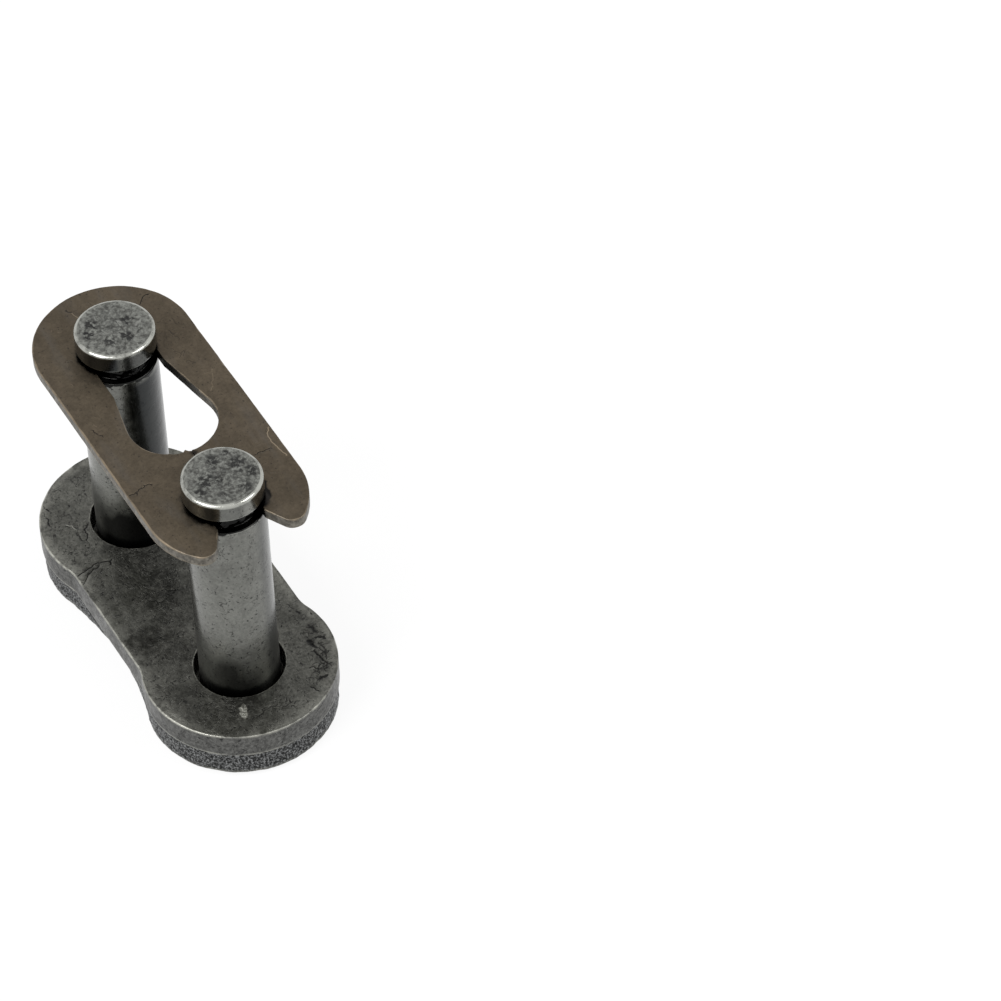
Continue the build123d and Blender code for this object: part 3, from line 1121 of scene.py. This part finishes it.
section += straight_rows((NECK_RADIUS + 0.1, HEAD_BOTTOM), (PIN_RADIUS - 0.14, HEAD_BOTTOM), 0.1)
section += arc_rows((PIN_RADIUS - SMALL_ROUND, HEAD_BOTTOM + SMALL_ROUND), SMALL_ROUND, -90, 0, 4, 0.4)
section += straight_rows((PIN_RADIUS, HEAD_BOTTOM + 0.14), (PIN_RADIUS, HEAD_TOP - 0.26), 0.07, 0.12)
section += arc_rows((FACE_RADIUS, HEAD_TOP - HEAD_ROUND), HEAD_ROUND, 0, 90, 10, 1.0)
section += straight_rows((FACE_RADIUS - 0.04, HEAD_TOP), (0.08, HEAD_TOP), 0.055)
print("a pin's section has", len(section), "points")

# %% [markdown]
# The marks of a pin are found ring by ring. The struck face of the head is pitted in some places. Black
# grease fills the groove, stands out of it where the clip leaves it open, and runs down in ragged drips.
# The foot of the shank is painted dark on the side turned toward the camera: a painted reflection of the
# dark plate, and painted shade where it stands in the plate's hole.

# %% Pits, grease and painted foot shade of one ring
FOOT_SHADE_WAY = math.radians(34)
FOOT_TOP, FOOT_FADE = 7.2, 2.4
DARK_TOP, DARK_FADE, DARK_STRENGTH = 5.0, 1.3, 0.85
DRIP, LONG_DRIP = 0.1, 0.3
BULGE, BULGE_DRIFT = 0.12, 0.14


def pits_of(ring, clusters):
    """How badly the struck face is pitted at each point: strong in some clusters."""
    pits = np.zeros(len(ring))
    for x, y, reach, strength in clusters:
        gap = np.hypot(ring[:, 0] - x, ring[:, 1] - y)
        pits = np.maximum(pits, strength * np.clip(1.4 - gap / reach, 0, 1))
    edge = np.clip((FACE_RADIUS - np.hypot(ring[:, 0], ring[:, 1])) * 5, 0, 1)
    return pits * edge


def grease_and_foot_shade_of(angles, level, seed, foot_shade_strength):
    """How dark a ring is: grease all round the neck and in drips below it, and painted reflection and
    shade at the shank's foot.
    """
    way = np.column_stack((np.cos(angles), np.sin(angles), np.full(len(angles), seed)))
    drip = DRIP + LONG_DRIP * np.clip(lumps(way, 2.6), 0, 1)
    near_top = np.clip((level - SHOULDER + drip) / 0.08, 0, 1) * (level < SHOULDER + 0.02)
    in_groove = SHOULDER - 0.001 < level < HEAD_BOTTOM + 0.06
    ragged = 0.5 * lumps(way + (0.0, 0.0, 0.3 * level), 1.4)
    # painted reflection of the dark plate, and painted shade inside the plate's hole, at the foot
    foot = foot_shade_strength * np.clip((FOOT_TOP - level) / FOOT_FADE + ragged, 0, 1)
    foot = np.maximum(foot, DARK_STRENGTH * np.clip((DARK_TOP - level) / DARK_FADE + ragged, 0, 1))
    foot = foot * (level > PIN_PLATE_TOP)
    # the painted foot shade is strongest on the side turned toward the camera
    toward_camera_side = 0.05 + 0.95 * np.clip(np.cos(angles + FOOT_SHADE_WAY) * 2.4 - 1.35, 0, 1)
    return np.maximum(np.maximum(near_top, float(in_groove)), foot * toward_camera_side)


def grease_bulge(angles, radius, level, seed):
    """How far grease stands out in the groove, where the clip leaves it open."""
    if radius > NECK_RADIUS + 0.01 or level < SHOULDER + 0.05:
        return np.zeros(len(angles))
    way = np.column_stack((np.cos(angles), np.sin(angles), np.full(len(angles), 0.6 * level + seed)))
    opening = np.clip(np.cos(angles) * 5 - 3.6, 0, 1)
    return opening * (BULGE + BULGE_DRIFT * lumps(way, 2.2))


print("grease toward the front at the foot:", grease_and_foot_shade_of(np.array([-FOOT_SHADE_WAY]), 3.0, 3, 1.0).round(2))

# %% [markdown]
# A shank, and the side of each head, also has dark bands on one side: painted reflections of the dark
# parts round it, and painted shade. Each is a band: the direction it faces in degrees, its half width, its
# strength, its lowest and highest level, and how softly it ends there.

# %% Painted dark bands of one ring
def painted_band_of(around, level, bands):
    """How strongly a ring carries painted reflection and shade, from bands (turn, half width, strength,
    low, high, fade).
    """
    banded = np.zeros(len(around))
    for turn, half_width, strength, low, high, fade in bands:
        share = np.clip((half_width - np.abs(around - turn)) / 12 + 1, 0, 1)
        share = share * np.clip(min(level - low, high - level) / fade, 0, 1)
        banded = np.maximum(banded, strength * share)
    return banded


print("a stain and its edge:", painted_band_of(np.array([0.0, 16.0]), 1.0, [(0, 10, 0.9, 0.0, 2.0, 0.5)]))

# %% [markdown]
# The sweep turns the section into rings, one row of the section at a time. Noise makes the
# steel a little uneven, marks and pits sink into it, and every value that the finish needs
# is stored on the way. The first and last ring are closed by a fan of triangles.

# %% Turn a pin
PIN_SIDES = 240
PIN_GRAIN = 0.004
FACE_SINK = 0.02
PIT_DEPTH = 0.012


def turn_pin(name, x, seed, shank_marks, face_marks, clusters, painted_bands, foot_shade_strength):
    """A turned pin, pitted in its head and with thin marks on its shank."""
    sides = PIN_SIDES
    angles = 2 * math.pi * np.arange(sides) / sides
    spin = np.column_stack((np.cos(angles), np.sin(angles)))
    around = (np.degrees(angles) + 180) % 360 - 180
    vertices, values = [], {"rim": [], "pit": [], "grease_and_shade": [], "crack": [], "face": [], "painted_dark_band": []}
    for radius, level, rim in section:
        ring = np.column_stack((radius * spin, np.full(sides, level)))
        grain = lumps(ring + (seed * 17.3, seed * 5.1, 0.0), 1.6, octaves=4)
        on_face = level > HEAD_TOP - 0.001
        pits = pits_of(ring, clusters) if on_face else np.zeros(sides)
        crack, drop = np.zeros(sides), np.zeros(sides)
        if PIN_PLATE_TOP < level < SHOULDER:
            unrolled = np.column_stack((np.radians(around) * PIN_RADIUS, np.full(sides, level)))
            drop, crack = marks_at(unrolled, shank_marks)
        elif on_face:
            drop, crack = marks_at(ring[:, :2], face_marks)
        bulge = grease_bulge(angles, radius, level, seed)
        out = radius + bulge + PIN_GRAIN * grain - 0.005 - (0.0 if on_face else 1.0) * drop
        sunk = FACE_SINK + PIT_DEPTH * pits * (1 + grain) + 0.6 * drop + PIN_GRAIN * grain
        up = level - on_face * np.clip(sunk, 0, 1) * np.clip((FACE_RADIUS - radius) * 8, 0, 1)
        vertices += [np.array((x + o * c, o * s, u)) for o, (c, s), u in zip(out, spin, up)]
        values["rim"] += [rim] * sides
        values["face"] += [float(on_face)] * sides
        values["pit"] += list(pits)
        values["grease_and_shade"] += list(grease_and_foot_shade_of(angles, level, seed, foot_shade_strength))
        values["crack"] += list(crack)
        values["painted_dark_band"] += list(painted_band_of(around, level, painted_bands))
    last = (len(section) - 1) * sides
    faces = [face for low in range(0, last, sides) for face in band(low, low + sides, sides)]
    foot, top = len(vertices), len(vertices) + 1
    vertices += [np.array((x, 0.0, 0.0)), np.array((x, 0.0, HEAD_TOP - 0.01))]
    for value_name, numbers in values.items():
        numbers += [0.0, float(value_name == "face")]
    faces += [(foot, (i + 1) % sides, i) for i in range(sides)]
    faces += [(top, last + i, last + (i + 1) % sides) for i in range(sides)]
    return make_object(name, vertices, faces, values)


print("lathe ready, with", PIN_SIDES, "points to a ring")

# %% [markdown]
# Thin scratches run across the shanks. A mark is drawn as if the shank were unrolled, from
# degrees round the pin and a level. On the struck face of the rear head there are scuffs
# and nicks, at plain places in millimetres from its middle.

# %% Marks of the pins
def on_shank(*places):
    """A mark's points from (degrees round the pin, level) to (arc length, level)."""
    return [(math.radians(turn) * PIN_RADIUS, level) for turn, level in places]


front_marks = [
    (on_shank((-41, 13.96), (-36, 13.6), (-31, 13.2)), 0.05, 0.01),
    (on_shank((-31, 13.2), (-27, 13.5), (-23, 13.55), (-20, 13.8)), 0.05, 0.01),
    (on_shank((-40, 6.9), (-34, 6.55), (-27, 6.3), (-18, 6.25), (-8, 6.5)), 0.045, 0.01),
    (on_shank((-30, 6.7), (-22, 6.6)), 0.04, 0.01),
    (on_shank((-14, 12.0), (-12, 11.5)), 0.04, 0.01),
    (on_shank((-33, 10.9), (-30, 10.2)), 0.04, 0.01),
]
rear_marks = [
    (on_shank((-30, 12.2), (-25, 11.7), (-22, 11.4)), 0.05, 0.01),
    (on_shank((12, 9.6), (16, 9.1)), 0.05, 0.01),
]
rear_scuffs = [
    (51, 0.06, 3, 0.13, -0.024, (-0.5, 0.3), (-0.2, 0.52)),
    (52, 0.06, 3, 0.15, -0.024, (0.15, 1.35), (0.4, 1.1)),
    (53, 0.06, 3, 0.11, -0.022, (0.55, 0.1), (0.3, -0.2)),
]
rear_nicks = [
    ([(-0.53, 0.75), (-0.21, 0.76), (0.1, 0.78)], 0.12, 0.04),
    ([(-0.32, 1.2), (-0.1, 1.26)], 0.07, 0.03),
    ([(0.41, 0.1), (0.65, 0.29), (1.01, 0.4)], 0.13, 0.03),
    ([(0.95, 0.91), (0.7, 1.12)], 0.09, 0.02),
    ([(-0.53, 0.3), (-0.28, 0.31), (0.11, 0.33)], 0.045, 0.03),
    ([(-1.19, -1.0), (-0.87, -0.98), (-0.46, -0.88)], 0.06, 0.03),
    ([(-0.53, -1.58), (-0.34, -1.37), (-0.27, -1.15)], 0.1, 0.03),
    ([(-0.2, -1.66), (0.11, -1.46)], 0.1, 0.03),
    ([(-1.17, -0.53), (-0.99, -0.45)], 0.05, 0.02),
    ([(-1.37, -0.56), (-1.07, -0.58)], 0.09, -0.02),
    ([(0.65, -0.66), (0.77, -0.46)], 0.06, 0.02),
    ([(-1.36, 1.16), (-1.28, 1.29)], 0.04, 0.02),
    ([(-0.98, 1.58), (-0.9, 1.71)], 0.035, 0.02),
]
rear_face_marks = crooked(rear_scuffs) + rear_nicks
print(len(front_marks) + len(rear_marks), "marks on the shanks,", len(rear_face_marks), "on the rear head")

# %% [markdown]
# Pits lie in clusters on the struck faces: a place, a reach and a strength, with one weak cluster over the
# whole face. Dark bands of painted reflection and shade stand on the shanks and on the sides of the heads.

# %% Turn both pins
rear_clusters = [
    (-0.9, -1.0, 0.45, 0.85),
    (-0.3, -1.4, 0.4, 1.0),
    (0.85, 0.35, 0.4, 0.95),
    (-0.3, 0.85, 0.35, 0.9),
    (0.7, -0.6, 0.45, 0.7),
    (0.0, 0.0, 2.2, 0.4),
]
front_clusters = [
    (-1.3, 0.1, 0.45, 0.9),
    (-1.45, 0.9, 0.3, 0.8),
    (-0.5, 1.15, 0.5, 0.95),
    (0.4, 1.6, 0.5, 0.95),
    (0.1, 1.0, 0.4, 0.6),
    (-0.1, -0.85, 0.6, 0.9),
    (0.1, -0.2, 0.4, 0.7),
    (1.2, 0.7, 0.5, 0.75),
    (0.55, -1.55, 0.45, 0.85),
    (1.15, -0.5, 0.4, 0.6),
    (0.0, 0.0, 2.2, 0.42),
]
# bands of painted reflection and shade on each shank and head side
rear_painted_bands = [
    (50, 52, 0.9, PIN_PLATE_TOP, SHOULDER, 0.5),
    (-40, 11, 0.55, 7.5, SHOULDER, 3.0),
    (-45, 20, 0.9, HEAD_BOTTOM, HEAD_TOP - 0.1, 0.12),
    (6, 14, 0.6, HEAD_BOTTOM, HEAD_TOP - 0.1, 0.12),
]
front_painted_bands = [
    (60, 30, 0.45, PIN_PLATE_TOP, SHOULDER, 0.3),
    (-45, 5, 0.85, HEAD_BOTTOM, HEAD_TOP - 0.1, 0.12),
    (-14, 12, 0.35, HEAD_BOTTOM, HEAD_TOP - 0.1, 0.12),
]
# the last number is how dark the foot of each shank is painted
rear_wear = (rear_marks, rear_face_marks, rear_clusters, rear_painted_bands, 1.1)
front_wear = (front_marks, [], front_clusters, front_painted_bands, 0.58)
rear_pin = turn_pin("turned_rear_pin", REAR_X, 3, *rear_wear)
front_pin = turn_pin("turned_front_pin", FRONT_X, 8, *front_wear)

# %% [markdown]
# All four finishes are worn steel, and differ in tone, grain and wear. Worm-like flecks
# darken them, in patches: they follow the lines where soft noise passes its middle value.
# Later layers, such as grease, are laid over a finish that is already there, by putting
# one more node before its colour or its roughness.

# %% Flecks and layers
def worms(tree, place, scale, width, share):
    """Thin crooked lines, in patches: where soft noise passes its middle value."""
    line = cloud(tree, place, scale, detail=2.0, roughness=0.5, warp=0.8)
    offset = calculate(tree, "ABSOLUTE", calculate(tree, "SUBTRACT", line, 0.5))
    thin = spread(tree, offset, 0.0, width, to_low=1.0, to_high=0.0)
    patches = cloud(tree, place, scale * 0.55, detail=3.0, roughness=0.6)
    patches = spread(tree, patches, 1 - share, 1.08 - share)
    return combine(tree, "MULTIPLY", thin, patches)


def recolour(tree, shader, amount, colour):
    """Lays one more colour over a finish."""
    below = shader.inputs["Base Color"].links[0].from_socket
    tree.links.new(blend_colours(tree, amount, below, colour), shader.inputs["Base Color"])


def reroughen(tree, shader, amount, level):
    """Changes the roughness where a value says so."""
    below = shader.inputs["Roughness"].links[0].from_socket
    rough = add(tree, "Mix", {0: amount, 2: below, 3: level}).outputs[0]
    tree.links.new(rough, shader.inputs["Roughness"])


print("layers ready")

# %% [markdown]
# A face has a cloudy tone, made by two noises of different size. The wall of a stamped
# piece was cut by the punch and not rolled, so it gets two tones of its own.

# %% Tones of a face and of a wall
def steel_tone(tree, place, tint, tones, clouds):
    """The cloudy tone of a face, its mixing value, and the finer of the two clouds."""
    broad = cloud(tree, place, clouds[0], detail=5.0, roughness=0.6, warp=0.4)
    medium = cloud(tree, place, clouds[1], detail=5.0, roughness=0.65)
    mottle = calculate(tree, "MULTIPLY_ADD", broad, 0.55, 0.0)
    mottle = calculate(tree, "MULTIPLY_ADD", medium, 0.45, mottle)
    mottle = spread(tree, mottle, 0.36, 0.64)
    return blend_colours(tree, mottle, grey(tones[0], tint), grey(tones[1], tint)), mottle, medium


def speckled_wall(tree, place, colour, dark, light, scale, low, high, tint):
    """A face's colour, with a stamped wall in two tones of its own where the piece has one."""
    coarse = spread(tree, cloud(tree, place, scale, detail=2.0, roughness=0.6), low, high)
    walled = blend_colours(tree, coarse, grey(dark, tint), grey(light, tint))
    return blend_colours(tree, mask(tree, "wall"), colour, walled)


print("tones ready")

# %% [markdown]
# One helper builds what the four finishes share. Over the cloudy tone, a fine grain breaks the steel up,
# flecks darken it, rims are a little brighter, partly as wear and partly as a painted highlight, cracks
# are dark and scratches bright, and grease, with painted shade, lies over everything. The same noise lifts
# the surface a little. Steel is fully metallic, so its colour is what it reflects, times its tone.

# %% Worn steel
FLECK_TONE = 0.014
FLECK_WIDTH = 0.03
CRACK_TONE = 0.012
GREASE_AND_SHADE_TONE = 0.009
GREASE_ROUGHNESS = 0.16
SCRATCH_GAIN = 2.6


def worn_steel(name, tint, tones, clouds, grain, flecks, rim_tone, gloss, bump, wall=None):
    """A finish for steel. Tones run from dark to light, and scales are per millimetre."""
    finish, tree, output = new_finish(name)
    place = millimetres(tree)
    colour, mottle, medium = steel_tone(tree, place, tint, tones, clouds)
    if wall:
        colour = speckled_wall(tree, place, colour, *wall)
    grain_scale, grain_strength = grain
    fine = cloud(tree, place, grain_scale, detail=2.0, roughness=0.7)
    shade = spread(tree, fine, 0.3, 0.7, 1.0 - grain_strength, 1.0 + grain_strength)
    colour = blend_colours(tree, 1.0, colour, shade, "MULTIPLY")
    fleck_scale, fleck_share, fleck_strength = flecks
    specks = worms(tree, place, fleck_scale, FLECK_WIDTH, fleck_share)
    spots = spread(tree, cloud(tree, place, fleck_scale * 2.3, detail=2.0, roughness=0.5), 0.64, 0.7)
    specks = combine(tree, "MULTIPLY", combine(tree, "MAXIMUM", specks, spots), fleck_strength)
    colour = blend_colours(tree, specks, colour, grey(FLECK_TONE))
    # rims painted brighter: wear, and a painted highlight
    rim_wear_and_sheen = combine(tree, "MULTIPLY", mask(tree, "rim"), spread(tree, medium, 0.3, 0.55, 0.2, 1.0))
    colour = blend_colours(tree, rim_wear_and_sheen, colour, grey(rim_tone, tint))
    crack = mask(tree, "crack")
    cracked = spread(tree, crack, 0.05, 0.5, 0.0, 0.9)
    colour = blend_colours(tree, cracked, colour, grey(CRACK_TONE))
    scratched = spread(tree, calculate(tree, "MULTIPLY", crack, -1.0), 0.05, 0.5)
    colour = blend_colours(tree, scratched, colour, grey(SCRATCH_GAIN * tones[1], tint))
    rough = spread(tree, mottle, 0.0, 1.0, gloss[0], gloss[1])
    height = calculate(tree, "MULTIPLY_ADD", specks, -0.8, fine)
    strength, distance = bump
    lifted = add(tree, "Bump", {"Strength": strength, "Distance": distance * MM, "Height": height})
    shader = add(tree, "BsdfPrincipled", {"Base Color": colour, "Roughness": rough, "Metallic": 1.0})
    tree.links.new(lifted.outputs[0], shader.inputs["Normal"])
    tree.links.new(shader.outputs[0], output.inputs["Surface"])
    # grease, painted shade and painted dark reflection share this value, and turn the steel dark and
    # glossy
    grease_and_shade_amount = spread(tree, mask(tree, "grease_and_shade"), 0.1, 0.75, 0.0, 0.97)
    recolour(tree, shader, grease_and_shade_amount, grey(GREASE_AND_SHADE_TONE))
    reroughen(tree, shader, grease_and_shade_amount, GREASE_ROUGHNESS)
    return tree, shader, finish


print("steel helper ready")

# %% [markdown]
# Pin steel is ground and hardened: grey and fairly glossy on the shank, and polished on the rim and side
# of the head. The foot of the shank is duller, where handling and dust left their film. The bands on the
# shanks and head sides are painted reflection and shade, darker and a little blue.

# %% Pin finish
tree, shader, pin_finish = worn_steel(
    "pin_steel_satin",
    tint=(0.99, 1.0, 0.92),
    tones=(0.135, 0.185),
    clouds=(0.35, 1.6),
    grain=(6.0, 0.12),
    flecks=(2.2, 0.5, 0.85),
    # a bright rim tone: wear on the head's rim, and a painted highlight on its rounding
    rim_tone=0.42,
    gloss=(0.16, 0.26),
    bump=(0.25, 0.015),
)
DULL_BELOW, GLOSSY_ABOVE = 5.5, 9.0
FOOT_ROUGHNESS = 0.36
# painted reflection and shade: dark, slightly blue bands on one side of each shank and head
recolour(tree, shader, mask(tree, "painted_dark_band"), grey(0.02, (0.9, 1.0, 1.08)))
height = add(tree, "SeparateXYZ", {0: millimetres(tree)}).outputs[2]
dull = spread(tree, height, DULL_BELOW, GLOSSY_ABOVE, to_low=1.0, to_high=0.0)
reroughen(tree, shader, dull, FOOT_ROUGHNESS)
print(pin_finish.name, "has", len(tree.nodes), "nodes so far")

# %% [markdown]
# The struck face of a head is another surface: rough, mottled and pitted by the press. It
# could have a material of its own, but then its edge would follow the mesh's faces. As a
# layer on the same finish it fades in at the rim.

# %% Struck face of the heads
FACE_ROUGHNESS = 0.4
face = mask(tree, "face")
struck = cloud(tree, millimetres(tree), 4.6, detail=5.0, roughness=0.65, warp=0.3)
struck = spread(tree, struck, 0.32, 0.68)
struck_dark, struck_light = grey(0.078, (1.0, 1.0, 0.92)), grey(0.26, (0.98, 1.0, 0.92))
recolour(tree, shader, face, blend_colours(tree, struck, struck_dark, struck_light))
elsewhere = millimetres(tree, shift=(4.0, 1.0, 2.0))
blotches = cloud(tree, elsewhere, 4.2, detail=4.0, roughness=0.62, warp=0.5)
blotches = combine(tree, "MULTIPLY", spread(tree, blotches, 0.36, 0.58), mask(tree, "pit"))
recolour(tree, shader, spread(tree, blotches, 0.03, 0.75, 0.0, 0.9), grey(0.026))
crack = mask(tree, "crack")
nicked = combine(tree, "MULTIPLY", face, spread(tree, crack, 0.1, 0.7, 0.0, 0.85))
recolour(tree, shader, nicked, grey(0.025))
raised = calculate(tree, "MULTIPLY", crack, -1.0)
scuffed = combine(tree, "MULTIPLY", face, spread(tree, raised, 0.1, 0.7, 0.0, 0.85))
recolour(tree, shader, scuffed, grey(0.25, (1.0, 1.0, 0.94)))
reroughen(tree, shader, face, FACE_ROUGHNESS)
print(pin_finish.name, "has", len(tree.nodes), "nodes")

# %% [markdown]
# The plates are heat treated and oiled black. The slip plate is a dark olive grey with a
# smooth lighter wall. The pin plate has the same face, and a coarse speckled wall.

# %% Plate finishes
PLATE_TINT = (1.0, 0.995, 0.89)
_, _, slip_finish = worn_steel(
    "slip_plate_steel_dark",
    tint=PLATE_TINT,
    tones=(0.064, 0.13),
    clouds=(0.3, 2.2),
    grain=(6.0, 0.24),
    flecks=(2.2, 0.56, 0.8),
    rim_tone=0.36,
    gloss=(0.34, 0.5),
    bump=(0.6, 0.03),
    wall=(0.075, 0.12, 4.0, 0.35, 0.65, (1.0, 1.0, 0.95)),
)
_, _, pin_plate_finish = worn_steel(
    "pin_plate_steel_coarse",
    tint=PLATE_TINT,
    tones=(0.062, 0.12),
    clouds=(0.3, 1.8),
    grain=(8.0, 0.2),
    flecks=(2.6, 0.5, 0.85),
    rim_tone=0.34,
    gloss=(0.4, 0.55),
    bump=(0.9, 0.05),
    wall=(0.022, 0.19, 8.0, 0.42, 0.66, (0.98, 1.0, 1.0)),
)
print("plates", slip_finish.name, pin_plate_finish.name)

# %% [markdown]
# The clip is blued, then browned by tempering, so it is warm, dark and even, with faint
# smears along its length. The smears are the same soft noise, stretched along the clip.

# %% Clip finish
tree, shader, clip_finish = worn_steel(
    "clip_steel_browned",
    tint=(1.0, 0.812, 0.585),
    tones=(0.077, 0.108),
    clouds=(0.25, 1.4),
    grain=(4.5, 0.1),
    flecks=(2.6, 0.34, 0.5),
    rim_tone=0.21,
    gloss=(0.42, 0.55),
    bump=(0.3, 0.02),
    wall=(0.085, 0.18, 3.5, 0.35, 0.65, (1.0, 0.93, 0.8)),
)
along = millimetres(tree, shift=(3.0, 0.0, 0.0), stretch=(0.25, 1.0, 1.0))
smear = spread(tree, cloud(tree, along, 0.9, detail=3.0), 0.5, 0.75)
recolour(tree, shader, combine(tree, "MULTIPLY", smear, 0.3), grey(0.115, (1.0, 0.93, 0.85)))
print("finishes", [m.name for m in (pin_finish, slip_finish, pin_plate_finish, clip_finish)])

# %% [markdown]
# Every piece now gets its finish, which the engineer's solid that it stands in for also takes, and the
# body that it moves with.

# %% Hand the pieces over
hand_over = [
    (pin_plate, pin_plate_finish, "pin_plate_steel", "base", "pin_plate"),
    (rear_pin, pin_finish, "pin_steel", "base", "rear_pin"),
    (front_pin, pin_finish, "pin_steel", "base", "front_pin"),
    (slip_plate, slip_finish, "slip_plate_steel", "slip", "slip_plate"),
    (clip, clip_finish, "clip_steel", "clip", "spring_clip"),
]
for piece, finish, slot_name, body, node_name in hand_over:
    piece.data.materials.append(finish)
    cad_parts[node_name].data.materials.clear()
    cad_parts[node_name].data.materials.append(finish)
    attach(piece, body)
    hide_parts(node_name)
    print(piece.name, "rides on", body)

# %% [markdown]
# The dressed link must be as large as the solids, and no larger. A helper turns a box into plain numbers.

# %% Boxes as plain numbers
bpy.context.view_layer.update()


def plain(box):
    """A box as lists of plain numbers."""
    return [[float(number) for number in corner] for corner in box]
